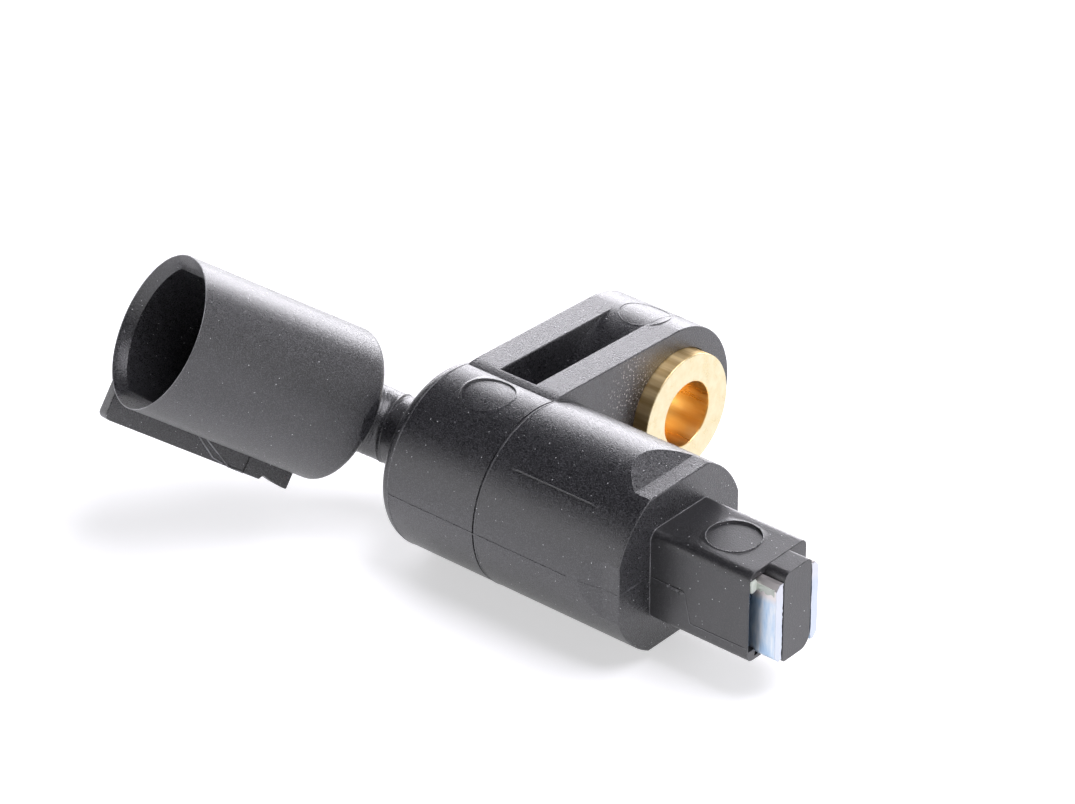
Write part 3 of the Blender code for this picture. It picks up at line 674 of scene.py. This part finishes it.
def gather(name, pieces):
    """One object that holds the closed solids of all the pieces, with their painted pale edges kept."""
    places, corners, pale, start = [], [], [], 0
    for piece in pieces:
        mesh = piece.data
        count = len(mesh.vertices)
        place = np.empty(count * 3)
        mesh.vertices.foreach_get("co", place)
        burr_and_glint = np.zeros(count)
        if "burr_and_glint" in mesh.attributes:
            mesh.attributes["burr_and_glint"].data.foreach_get("value", burr_and_glint)
        places.append(place.reshape(-1, 3))
        pale.append(burr_and_glint)
        corners += [[start + v for v in polygon.vertices] for polygon in mesh.polygons]
        start += count
        bpy.data.objects.remove(piece)
    mesh = bpy.data.meshes.new(name)
    mesh.from_pydata(np.concatenate(places).tolist(), [], corners)
    obj = bpy.data.objects.new(name, mesh)
    scene.collection.objects.link(obj)
    return mark_burr_and_glint(obj, np.concatenate(pale))


def smooth(obj, angle=33.0, planes=()):
    """Soft shading, broken at sharp edges and round the faces that lie in one of the planes.

    Each plane is the direction that it faces."""
    obj.data.shade_smooth()
    obj.data.set_sharp_from_angle(angle=math.radians(angle))
    body = bmesh.new()
    body.from_mesh(obj.data)
    facing = [Vector(plane).normalized() for plane in planes]
    for edge in body.edges:
        if len(edge.link_faces) != 2 or edge.calc_face_angle(0.0) < math.radians(4.0):
            continue
        first, second = (face.normal for face in edge.link_faces)
        if any((first.dot(way) > 0.99995) != (second.dot(way) > 0.99995) for way in facing):
            edge.smooth = False
    body.to_mesh(obj.data)
    body.free()
    step = obj.modifiers.new("normals", "WEIGHTED_NORMAL")
    step.keep_sharp, step.weight = True, 80


def corner_outline(half_w, half_h, radii, steps=8):
    """A rectangle of (Y, Z) pairs whose corners have their own radii, from +Y +Z round to +Y -Z."""
    pairs = []
    for corner, ((a, b), radius) in enumerate(zip(((1, 1), (-1, 1), (-1, -1), (1, -1)), radii)):
        turn = np.linspace(corner * np.pi / 2, (corner + 1) * np.pi / 2, steps + 1)
        pairs.append(np.stack([a * (half_w - radius) + radius * np.cos(turn),
                               b * (half_h - radius) + radius * np.sin(turn)], 1))
    return np.concatenate(pairs)


def nose_flash():
    """A thin lip of housing plastic round the foot of the nose, its crest painted pale: a painted highlight
    along the joint, partly whitened flash.
    """
    outline = corner_outline(NOSE_HALF_W + 0.02, NOSE_HALF_H + 0.02, NOSE_CORNERS)
    path = across_x(outline, BARREL_TIP, AXIS_Y)
    gap = np.linalg.norm(np.roll(path, -1, 0) - path, axis=1) > 0.02
    return bead("nose_flash", path[gap], (1, 0, 0), 0.12, 0.05, wrap=True, burr_and_glint=0.8)


def value_group(name, inputs, outputs):
    """An empty node group with named value inputs and outputs, and its two end nodes."""
    group = bpy.data.node_groups.new(name, "ShaderNodeTree")
    for label, value in inputs:
        group.interface.new_socket(label, in_out="INPUT", socket_type="NodeSocketFloat").default_value = value
    for label, kind in outputs:
        group.interface.new_socket(label, in_out="OUTPUT", socket_type=kind)
    return group, group.nodes.new("NodeGroupInput"), group.nodes.new("NodeGroupOutput")


def grain_group():
    """Skin grain: fine noise as a height in metres and as it is, and a slow noise for the tone."""
    group, given, result = value_group(
        "skin_grain", (("Scale", 7000.0), ("Depth", 0.00003), ("Broad", 250.0)),
        (("Height", "NodeSocketFloat"), ("Tone", "NodeSocketFloat"), ("Speckle", "NodeSocketFloat")))
    place = node(group, "ShaderNodeTexCoord")
    fine = node(group, "ShaderNodeTexNoise", Detail=1.0, Roughness=0.6)
    wire(group, place.outputs["Object"], fine.inputs["Vector"])
    wire(group, given.outputs["Scale"], fine.inputs["Scale"])
    height = maths(group, "MULTIPLY", fine.outputs["Fac"], given.outputs["Depth"])
    wire(group, height, result.inputs["Height"])
    wire(group, fine.outputs["Fac"], result.inputs["Speckle"])
    broad = node(group, "ShaderNodeTexNoise", Detail=4.0, Roughness=0.6)
    wire(group, place.outputs["Object"], broad.inputs["Vector"])
    wire(group, given.outputs["Broad"], broad.inputs["Scale"])
    wire(group, broad.outputs["Fac"], result.inputs["Tone"])
    return group


def dust_group():
    """Specks: a mask that is one inside small spots round some of the points of a cell pattern."""
    group, given, result = value_group("dust_specks", (("Scale", 1300.0), ("Size", 0.062), ("Share", 0.2)),
                                       (("Mask", "NodeSocketFloat"),))
    place = node(group, "ShaderNodeTexCoord")
    cells = node(group, "ShaderNodeTexVoronoi")
    wire(group, place.outputs["Object"], cells.inputs["Vector"])
    wire(group, given.outputs["Scale"], cells.inputs["Scale"])
    near = maths(group, "LESS_THAN", cells.outputs["Distance"], given.outputs["Size"])
    split = node(group, "ShaderNodeSeparateColor")
    wire(group, cells.outputs["Color"], split.inputs[0])
    chosen = maths(group, "LESS_THAN", split.outputs[0], given.outputs["Share"])
    wire(group, maths(group, "MULTIPLY", near, chosen), result.inputs["Mask"])
    return group


GRAIN, DUST = grain_group(), dust_group()


def placed_group(tree, group, **values):
    """A node group placed in a material, with its named inputs set."""
    made = tree.nodes.new("ShaderNodeGroup")
    made.node_tree = group
    for key, value in values.items():
        made.inputs[key].default_value = value
    return made


def new_surface(name):
    """A material with its Principled shader and its tree."""
    made = bpy.data.materials.new(name)
    made.use_nodes = True
    return made, made.node_tree, made.node_tree.nodes["Principled BSDF"]


def colour_mix(tree, factor, first, second):
    """A mix of two colours by a value socket; a colour may be a socket or four numbers."""
    mix = node(tree, "ShaderNodeMix", data_type="RGBA")
    wire(tree, factor, mix.inputs["Factor"])
    for key, value in (("A", first), ("B", second)):
        socket = next(s for s in mix.inputs if s.identifier == key + "_Color")
        if isinstance(value, tuple):
            socket.default_value = value
        else:
            wire(tree, value, socket)
    return next(s for s in mix.outputs if s.identifier == "Result_Color")


def span(tree, value, low, high, start=0.0, stop=1.0):
    """A value moved from the range start..stop to low..high."""
    made = node(tree, "ShaderNodeMapRange")
    wire(tree, value, made.inputs["Value"])
    for key, number in (("From Min", start), ("From Max", stop), ("To Min", low), ("To Max", high)):
        made.inputs[key].default_value = number
    return made.outputs["Result"]


def bumped(tree, shader, height):
    """Turns the shader's normal by a height in metres."""
    bump = node(tree, "ShaderNodeBump", Strength=1.0, Distance=1.0)
    wire(tree, height, bump.inputs["Height"])
    wire(tree, bump.outputs["Normal"], shader.inputs["Normal"])


def around_bolt(tree):
    """The place on the object, its X, Y and Z, and its distance from the bolt's axis."""
    place = node(tree, "ShaderNodeTexCoord")
    split = node(tree, "ShaderNodeSeparateXYZ")
    wire(tree, place.outputs["Object"], split.inputs[0])
    flat = node(tree, "ShaderNodeCombineXYZ")
    wire(tree, split.outputs["Y"], flat.inputs["Y"])
    wire(tree, split.outputs["Z"], flat.inputs["Z"])
    reach = node(tree, "ShaderNodeVectorMath", operation="LENGTH")
    wire(tree, flat.outputs[0], reach.inputs[0])
    return place.outputs["Object"], split.outputs, reach.outputs["Value"]


def scuffs(tree):
    """Pale scuffs on the arm's face beside the bush: dashes of noise along circles round its axis."""
    _, place, reach = around_bolt(tree)
    turn = maths(tree, "ARCTAN2", place["Z"], place["Y"])
    polar = node(tree, "ShaderNodeCombineXYZ")
    wire(tree, span(tree, reach, 0.0, 90.0, 0.0, 0.02), polar.inputs["X"])
    wire(tree, span(tree, turn, 0.0, 140.0, 0.0, 4.0), polar.inputs["Y"])
    dashes = node(tree, "ShaderNodeTexNoise", Scale=1.0, Detail=1.0)
    wire(tree, polar.outputs[0], dashes.inputs["Vector"])
    mask = span(tree, dashes.outputs["Fac"], 0.0, 1.0, 0.62, 0.68)
    for value, low, high in ((reach, 0.0122, 0.0094), (turn, 2.95, 2.60), (turn, 1.95, 2.25),
                             (place["X"], -0.00166, -0.00162)):
        mask = maths(tree, "MULTIPLY", mask, span(tree, value, 0.0, 1.0, low, high))
    return mask


# What lies over the black: the grain's tips, pale thin edges that are partly whitened flash and partly a
# painted highlight, scuffs, powder and specks of dust.
GRAIN_TIPS = (0.20, 0.20, 0.22, 1)
PALE_EDGE_AND_GLINT = (0.50, 0.50, 0.52, 1)
SCUFFED = (0.62, 0.56, 0.55, 1)
POWDER = (0.60, 0.60, 0.62, 1)
SPECKS = (0.85, 0.85, 0.88, 1)


def plastic(name, dark, light, rough, grain, depth, dust, speckle, worn=False):
    """Black moulded plastic: tone drifts between two near colours and is speckled by its grain.

    Thin edges are painted pale in places, partly as whitened flash and partly as a painted highlight along
    them, and a little dust lies on top."""
    surface, tree, shader = new_surface(name)
    skin = placed_group(tree, GRAIN, Scale=grain, Depth=depth)
    specks = placed_group(tree, DUST, Share=dust)
    powder = placed_group(tree, DUST, Scale=2700.0, Size=0.11, Share=0.22 * dust)
    tone = span(tree, skin.outputs["Tone"], 0.0, 1.0, 0.3, 0.7)
    base = colour_mix(tree, tone, dark, light)
    tips = span(tree, skin.outputs["Speckle"], 0.0, speckle, 0.50, 0.64)
    base = colour_mix(tree, tips, base, GRAIN_TIPS)
    # Pale crests of mould lines and thin edges: a painted highlight along them, with some real whitening of
    # the flash.
    edge = node(tree, "ShaderNodeAttribute", attribute_name="burr_and_glint")
    patches = span(tree, skin.outputs["Tone"], 0.15, 1.0, 0.35, 0.6)
    base = colour_mix(tree, maths(tree, "MULTIPLY", edge.outputs["Fac"], patches), base, PALE_EDGE_AND_GLINT)
    if worn:
        base = colour_mix(tree, scuffs(tree), base, SCUFFED)
    base = colour_mix(tree, powder.outputs["Mask"], base, POWDER)
    wire(tree, colour_mix(tree, specks.outputs["Mask"], base, SPECKS), shader.inputs["Base Color"])
    uneven = span(tree, skin.outputs["Speckle"], rough[0], rough[1], 0.36, 0.64)
    wire(tree, uneven, shader.inputs["Roughness"])
    shader.inputs["IOR"].default_value = 1.5
    shader.inputs["Specular IOR Level"].default_value = 1.0
    bumped(tree, shader, skin.outputs["Height"])
    return surface


housing = gather("housing_moulding", [barrel(), *barrel_lines(), *arm(), shell(), rim_flash(), neck(),
                                      *rail(), nose_flash()])
flat_planes = [(slope * step, math.cos(math.radians(c)), math.sin(math.radians(c)))
               for c, _, slope in FLATS for step in (0, 1)]
smooth(housing, planes=flat_planes + [tuple(X_AXIS)])
housing.data.materials.append(plastic("black_nylon", (0.010, 0.010, 0.012, 1), (0.016, 0.016, 0.018, 1),
                                      (0.27, 0.38), 8600.0, 0.000034, dust=0.45, speckle=0.30, worn=True))
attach(housing, "root")
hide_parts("housing")

# Mounting bush
# A brass tube pressed into the lug so that the bolt clamps on metal. It is turned from bar, so its
# rim and faces carry fine tool marks, and both ends have small chamfers.
BUSH_BACK, BUSH_BORE_R = -12.14, 3.25


def brass_bush():
    """A closed profile of (place along X, radius) pairs turned about the bolt axis.

    The outer edges and the ends of the bore are quarter circles."""
    edge, lip = 0.16, 0.12
    outer, inner = np.linspace(0, math.pi / 2, 5), np.linspace(0, math.pi / 2, 4)
    back = [(BUSH_BACK + edge * (1 - math.sin(a)), BUSH_R - edge * (1 - math.cos(a))) for a in outer]
    front = [(-edge + edge * math.sin(a), BUSH_R - edge * (1 - math.cos(a))) for a in outer]
    bore_front = [(-lip + lip * math.cos(a), BUSH_BORE_R + lip * (1 - math.sin(a))) for a in inner]
    bore_back = [(BUSH_BACK + lip - lip * math.sin(a), BUSH_BORE_R + lip * (1 - math.cos(a))) for a in inner]
    loop = back[::-1] + [(-8.0, BUSH_R), (-4.0, BUSH_R), (-1.7, BUSH_R)] + front + [(0.0, 5.2), (0.0, 4.2)]
    loop += bore_front + [(-4.0, BUSH_BORE_R), (-8.0, BUSH_BORE_R)] + bore_back
    loop += [(BUSH_BACK, 4.2), (BUSH_BACK, 5.2)]
    return turned("brass_bush", loop, 180)


def brass():
    """Turned brass: rings on the faces, streaks along the bore, and a warmer tone inside it. The end faces
    are painted a whiter, less yellow brass, a painted highlight for their over-bright reflection.
    """
    surface, tree, shader = new_surface("turned_brass")
    place, _, reach = around_bolt(tree)
    inside = span(tree, reach, 1.0, 0.0, 0.00330, 0.00338)
    streak = node(tree, "ShaderNodeMapping")
    streak.inputs["Scale"].default_value = (60.0, 900.0, 900.0)
    wire(tree, place, streak.inputs["Vector"])
    lines = node(tree, "ShaderNodeTexNoise", Scale=1.0, Detail=4.0, Roughness=0.6)
    wire(tree, streak.outputs[0], lines.inputs["Vector"])
    rings = node(tree, "ShaderNodeTexNoise", noise_dimensions="1D", Scale=9000.0, Detail=2.0)
    wire(tree, reach, rings.inputs["W"])
    tone = span(tree, lines.outputs["Fac"], 0.0, 1.0, 0.35, 0.65)
    # The end faces' whiter, less yellow brass is a painted highlight: it stands in for their over-bright
    # reflection.
    outer = colour_mix(tree, tone, (0.70, 0.60, 0.37, 1), (0.77, 0.69, 0.48, 1))
    bore = colour_mix(tree, tone, (0.90, 0.60, 0.24, 1), (1.0, 0.78, 0.42, 1))
    rim = span(tree, reach, 0.0, 1.0, 0.00592, 0.00599)
    wall = colour_mix(tree, tone, (0.62, 0.42, 0.17, 1), (1.0, 0.80, 0.46, 1))
    outer = colour_mix(tree, rim, outer, wall)
    wire(tree, colour_mix(tree, inside, outer, bore), shader.inputs["Base Color"])
    shader.inputs["Metallic"].default_value = 1.0
    uneven = span(tree, lines.outputs["Fac"], 0.24, 0.38, 0.3, 0.7)
    wire(tree, maths(tree, "ADD", uneven, span(tree, rim, 0.0, 0.22)), shader.inputs["Roughness"])
    marks = maths(tree, "ADD", lines.outputs["Fac"], rings.outputs["Fac"])
    bumped(tree, shader, maths(tree, "MULTIPLY", marks, 0.000006))
    return surface


bush = brass_bush()
smooth(bush, 40.0)
bush.data.materials.append(brass())
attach(bush, "root")
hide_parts("mounting_bush")

# Nose
# The separate moulded nose that the housing grips: a block with softer long edges, a tongue between
# the pole plates at its tip, an ejector pin's mark on top and its own parting line on the side.
NOSE_BACK, NOSE_TIP, TONGUE_TIP = 13.4, 25.8, 28.05
TONGUE_HALF = 1.93
NOSE_PIN = np.array([20.78, -19.3])
SLOT_IN, SLOT_MIDDLE, SLOT_OUT = 1.94, 3.02, 3.93
SLOT_LOW, GAP_LOW, SLOT_HIGH = -4.2, -3.45, 3.95


def nose_block():
    """Rings of the block's outline along X, with a pin's mark let into the level top."""
    top_y = np.linspace(NOSE_HALF_W - NOSE_CORNERS[0], -(NOSE_HALF_W - NOSE_CORNERS[1]), 17)
    base = corner_outline(NOSE_HALF_W, NOSE_HALF_H, NOSE_CORNERS)
    steps = 9
    level = np.column_stack([top_y, np.full(17, NOSE_HALF_H)])
    outline = np.concatenate([base[:steps - 1], level, base[steps + 1:]])
    xs = np.concatenate([[NOSE_BACK, 15.2], np.linspace(17.9, 23.7, 13), [24.8, NOSE_TIP - 0.05, NOSE_TIP]])
    inset = np.array([1.0] * (len(xs) - 1) + [0.99])
    points = np.stack([across_x(outline * k, x, AXIS_Y) for x, k in zip(xs, inset)])
    left, right = steps, steps + 14
    hole = (2, 14, left, right)
    chart = points[..., :2].copy()
    rings = pin_mark(hole_loop(chart, hole), NOSE_PIN, PIN_R, depth=0.14, lip=0.03)
    mark = np.stack([rings[..., 0], rings[..., 1], NOSE_HALF_H + rings[..., 2]], -1)
    rows, count = points.shape[:2]
    faces = [list(f) for f in grid_quads(rows, count, hole=hole)]
    faces += [list(f) for f in grid_quads(*mark.shape[:2], start=rows * count)]
    faces += end_caps(rows, count)
    return solid("nose_block", np.concatenate([points.reshape(-1, 3), mark.reshape(-1, 3)]), faces)


def tongue():
    """The tongue's outline, each corner with its own radius, run along X."""
    outline = corner_outline(TONGUE_HALF, NOSE_HALF_H - 0.03, (0.5, 0.85, 0.4, 1.3))
    return soften(loft("tongue", [across_x(outline, x, AXIS_Y) for x in (NOSE_TIP - 1.2, TONGUE_TIP)]), 0.05)


def nose():
    """The block less its two slots, the tongue, and the thin lines and burrs that the nose's mould left."""
    block = nose_block()
    slots = []
    for side in (-1, 1):
        far, outer_high = (SLOT_OUT, SLOT_HIGH) if side < 0 else (SLOT_MIDDLE + 0.1, SLOT_HIGH - 0.5)
        box = [(side * SLOT_IN, SLOT_LOW), (side * SLOT_MIDDLE, SLOT_LOW), (side * SLOT_MIDDLE, GAP_LOW),
               (side * far, GAP_LOW), (side * far, outer_high), (side * SLOT_IN, SLOT_HIGH)]
        slots.append(loft("slot", [across_x(box, x, AXIS_Y) for x in (NOSE_TIP - 1.6, NOSE_TIP + 1)]))
    carve(block, slots)
    rng = np.random.default_rng(11)
    side_y = AXIS_Y - NOSE_HALF_W
    path = [(15.0, side_y, 0.02), (18.4, side_y, -0.02), (18.7, side_y, -0.12), (19.35, side_y, -3.0),
            (19.6, side_y, -3.08), (NOSE_TIP - 0.1, side_y, -3.02)]
    runs = [straight_line(a, b, 14)[:-1] for a, b in zip(path[:-1], path[1:])]
    places = np.concatenate(runs + [[path[-1]]])
    places[1:-1, 2] += rng.normal(0, 0.012, len(places) - 2)
    tall = np.where(places[:, 0] < 18.6, 0.09, 0.05)
    line = bead("nose_parting", places, (0, -1, 0), 0.12, tall, burr_and_glint=0.35)
    smear = straight_line((16.7, side_y, -0.16), (18.55, side_y, -0.26), 22)
    smear[1:-1, 2] += rng.normal(0, 0.05, 20)
    smear = bead("nose_smear", smear, (0, -1, 0), 0.34, 0.03 + 0.08 * rng.random(22), burr_and_glint=0.6)
    turn = np.linspace(0, 2 * np.pi, 151)[:-1]
    reach = PIN_R + 0.05
    ring = np.column_stack([NOSE_PIN[0] + reach * np.cos(turn), NOSE_PIN[1] + reach * np.sin(turn),
                            np.full(150, NOSE_HALF_H)])
    burrs = bead("pin_burrs", ring, (0, 0, 1), 0.12, 0.02 + 0.11 * rng.random(150) ** 3, wrap=True, burr_and_glint=0.9)
    return gather("nose", [block, tongue(), line, smear, burrs])


nose_piece = nose()
smooth(nose_piece)
nose_piece.data.materials.append(plastic("nose_nylon", (0.010, 0.010, 0.011, 1), (0.016, 0.016, 0.018, 1),
                                         (0.33, 0.44), 8000.0, 0.00002, dust=0.60, speckle=0.14))
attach(nose_piece, "root")
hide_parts("nose_carrier")

# Pole plates
# Two soft-iron plates, plated bright, that run from the coil to the tip on either side of the tongue.
# Their outer corners are sheared off, and the plating is streaked.
PLATE_IN, PLATE_OUT = 2.03, 2.98
PLATE_STEP, PLATE_FRONT = 12.6, 28.02


def pole_plate(name, side):
    """Rings of one plate's section along X: a low tail, then a tall head with sheared corners.

    The section is an inner edge, ragged by the shears, and an outer edge that is shorter."""
    rng = np.random.default_rng(5 + side)
    steps = 26
    ragged = PLATE_IN + 0.045 + rng.normal(0, 0.03, steps)
    tail = [(PLATE_IN, z) for z in np.linspace(-1.95, 1.95, steps)] + [(2.5, 1.98), (PLATE_OUT, 1.9),
                                                                     (PLATE_OUT, -1.9), (2.5, -1.98)]
    head = [(y, z) for y, z in zip(ragged, np.linspace(-4.1, 3.82, steps))] + [(2.5, 3.85), (PLATE_OUT, 3.3),
                                                                              (PLATE_OUT, -3.6), (2.5, -4.15)]
    low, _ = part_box(name)
    sections = ((tail, low.x / MM), (tail, PLATE_STEP), (head, PLATE_STEP + 0.02), (head, PLATE_FRONT))
    rings = [across_x(np.array(shape) * [side, 1], x, AXIS_Y) for shape, x in sections]
    return soften(loft("plate_" + name.split("_")[-1], rings), 0.035)


def plated_steel():
    """Bright plating: streaks along Z between white, pale blue and grey, with small pits."""
    surface, tree, shader = new_surface("bright_plating")
    place = node(tree, "ShaderNodeTexCoord")
    stretch = node(tree, "ShaderNodeMapping")
    stretch.inputs["Scale"].default_value = (700.0, 700.0, 130.0)
    wire(tree, place.outputs["Object"], stretch.inputs["Vector"])
    streaks = node(tree, "ShaderNodeTexNoise", Scale=1.0, Detail=5.0, Roughness=0.6)
    wire(tree, stretch.outputs[0], streaks.inputs["Vector"])
    ramp = node(tree, "ShaderNodeValToRGB")
    stops = ramp.color_ramp.elements
    stops[0].position, stops[0].color = 0.35, (0.28, 0.44, 0.66, 1)
    stops[1].position, stops[1].color = 0.66, (0.84, 0.88, 0.92, 1)
    middle = stops.new(0.50)
    middle.color = (0.50, 0.66, 0.84, 1)
    wire(tree, streaks.outputs["Fac"], ramp.inputs[0])
    split = node(tree, "ShaderNodeSeparateXYZ")
    wire(tree, place.outputs["Object"], split.inputs[0])
    upper = span(tree, split.outputs["Z"], 0.0, 1.0, 0.0018, 0.0025)
    tip = span(tree, split.outputs["X"], 0.0, 0.8, 0.02790, 0.02800)
    tint = colour_mix(tree, upper, ramp.outputs["Color"], (0.80, 0.76, 0.75, 1))
    wire(tree, colour_mix(tree, tip, tint, (0.62, 0.65, 0.72, 1)), shader.inputs["Base Color"])
    shader.inputs["Metallic"].default_value = 0.75
    wire(tree, span(tree, streaks.outputs["Fac"], 0.25, 0.45, 0.3, 0.7), shader.inputs["Roughness"])
    bumped(tree, shader, maths(tree, "MULTIPLY", streaks.outputs["Fac"], 0.00004))
    return surface


plating = plated_steel()
for plate_node, plate_side in (("pole_plate_left", -1), ("pole_plate_right", 1)):
    plate = pole_plate(plate_node, plate_side)
    smooth(plate, 30.0)
    plate.data.materials.append(plating)
    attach(plate, "root")
    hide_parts(plate_node)

# Sealing resin
# A drop of pale resin over the top of the left plate, where the slot beside it was filled.


def resin():
    """Rings of a rounded block that fills the top of the slot, and a ragged film over the plate's edge.

    The block's outline is a square with an even wave, |cos|^0.5 and |sin|^0.5, drawn in at its face."""
    turn = np.arange(48) * 2 * np.pi / 48
    share = np.array([1.0, 1.0, 0.94, 0.8, 0.55, 0.25])
    x = NOSE_TIP + np.array([-0.7, -0.05, 0.06, 0.12, 0.16, 0.17])
    wave = 1 + 0.04 * np.sin(3 * turn + 0.6) + 0.03 * np.sin(7 * turn)
    across = 0.46 * wave * np.sign(np.cos(turn)) * np.abs(np.cos(turn)) ** 0.5
    along = 0.62 * wave * np.sign(np.sin(turn)) * np.abs(np.sin(turn)) ** 0.5
    points = np.stack([np.broadcast_to(x[:, None], (6, 48)), AXIS_Y - 3.44 + share[:, None] * across,
                       3.26 + share[:, None] * along], -1)
    block = loft("resin_block", points)
    rng = np.random.default_rng(2)
    places = np.linspace(NOSE_TIP - 0.1, NOSE_TIP + 1.95, 12)
    foot = 2.62 + 0.35 * rng.random(12)
    thick = 0.05 + 0.06 * rng.random(12)
    outer = AXIS_Y - PLATE_OUT
    film = [[(x, outer + 0.05, 3.42), (x, outer - 0.01, 3.42), (x, outer - t, 3.2),
             (x, outer - t, 0.5 * (f + 3.2)), (x, outer - 0.8 * t, f + 0.12),
             (x, outer, f), (x, outer + 0.05, f)]
            for x, f, t in zip(places, foot, thick)]
    return gather("sealing_resin", [block, loft("resin_film", film)])


def resin_surface():
    """Glossy pale resin, whose tone moves between two greenish greys with a slow noise."""
    surface, tree, shader = new_surface("pale_resin")
    skin = placed_group(tree, GRAIN, Scale=2500.0, Depth=0.00002, Broad=900.0)
    wire(tree, colour_mix(tree, skin.outputs["Tone"], (0.42, 0.48, 0.40, 1), (0.80, 0.84, 0.78, 1)),
         shader.inputs["Base Color"])
    shader.inputs["Roughness"].default_value = 0.22
    bumped(tree, shader, skin.outputs["Height"])
    return surface


drop = resin()
smooth(drop, 50.0)
drop.data.materials.append(resin_surface())
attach(drop, "root")
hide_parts("resin_drop")

# Pieces inside the housing
# The coil on its former, the magnet and its disc, the contact strips and what joins them. The housing
# hides all but the ends of the strips, so their solids are kept and given the finish of the real ones.


def finish_of(name, first, second, rough, metallic, scale, stretch=(1.0, 1.0, 1.0), depth=0.00001):
    """A surface whose tone moves between two colours with a noise, stretched where it has a grain."""
    surface, tree, shader = new_surface(name)
    place = node(tree, "ShaderNodeTexCoord")
    turn = node(tree, "ShaderNodeMapping")
    turn.inputs["Scale"].default_value = tuple(scale * s for s in stretch)
    wire(tree, place.outputs["Object"], turn.inputs["Vector"])
    noise = node(tree, "ShaderNodeTexNoise", Scale=1.0, Detail=4.0, Roughness=0.6)
    wire(tree, turn.outputs[0], noise.inputs["Vector"])
    tone = span(tree, noise.outputs["Fac"], 0.0, 1.0, 0.35, 0.65)
    wire(tree, colour_mix(tree, tone, first, second), shader.inputs["Base Color"])
    wire(tree, span(tree, noise.outputs["Fac"], rough[0], rough[1], 0.3, 0.7), shader.inputs["Roughness"])
    shader.inputs["Metallic"].default_value = metallic
    bumped(tree, shader, maths(tree, "MULTIPLY", noise.outputs["Fac"], depth))
    return surface


INSIDE = (
    (("coil_bobbin",),
     finish_of("former_nylon", (0.66, 0.62, 0.52, 1), (0.78, 0.75, 0.66, 1), (0.4, 0.55), 0.0, 900)),
    (("coil_winding",),
     finish_of("enamelled_wire", (0.42, 0.15, 0.05, 1), (0.78, 0.38, 0.16, 1), (0.25, 0.4), 1.0, 900,
               (14.0, 1.0, 1.0), 0.00006)),
    (("coil_tape",),
     finish_of("amber_tape", (0.42, 0.24, 0.05, 1), (0.62, 0.42, 0.14, 1), (0.25, 0.4), 0.0, 500)),
    (("magnet",),
     finish_of("magnet_metal", (0.14, 0.14, 0.15, 1), (0.26, 0.26, 0.27, 1), (0.3, 0.45), 0.9, 1500)),
    (("backing_disc",),
     finish_of("disc_metal", (0.44, 0.45, 0.47, 1), (0.62, 0.63, 0.65, 1), (0.28, 0.4), 1.0, 1200)),
    (("contact_strip_left", "contact_strip_right"),
     finish_of("tinned_strip", (0.58, 0.58, 0.56, 1), (0.80, 0.80, 0.77, 1), (0.25, 0.38), 1.0, 1200)),
    (("strip_spacer",),
     finish_of("spacer_nylon", (0.05, 0.05, 0.055, 1), (0.08, 0.08, 0.085, 1), (0.4, 0.55), 0.0, 1500)),
    (("coil_lead_left", "coil_lead_right"),
     finish_of("lead_wire", (0.52, 0.20, 0.07, 1), (0.75, 0.36, 0.15, 1), (0.25, 0.35), 1.0, 2500)),
    (("solder_joint_left", "solder_joint_right"),
     finish_of("solder_metal", (0.48, 0.49, 0.51, 1), (0.72, 0.73, 0.75, 1), (0.25, 0.4), 1.0, 2200)),
)
for names, surface in INSIDE:
    for name in names:
        nodes[name].data.materials.clear()
        nodes[name].data.materials.append(surface)
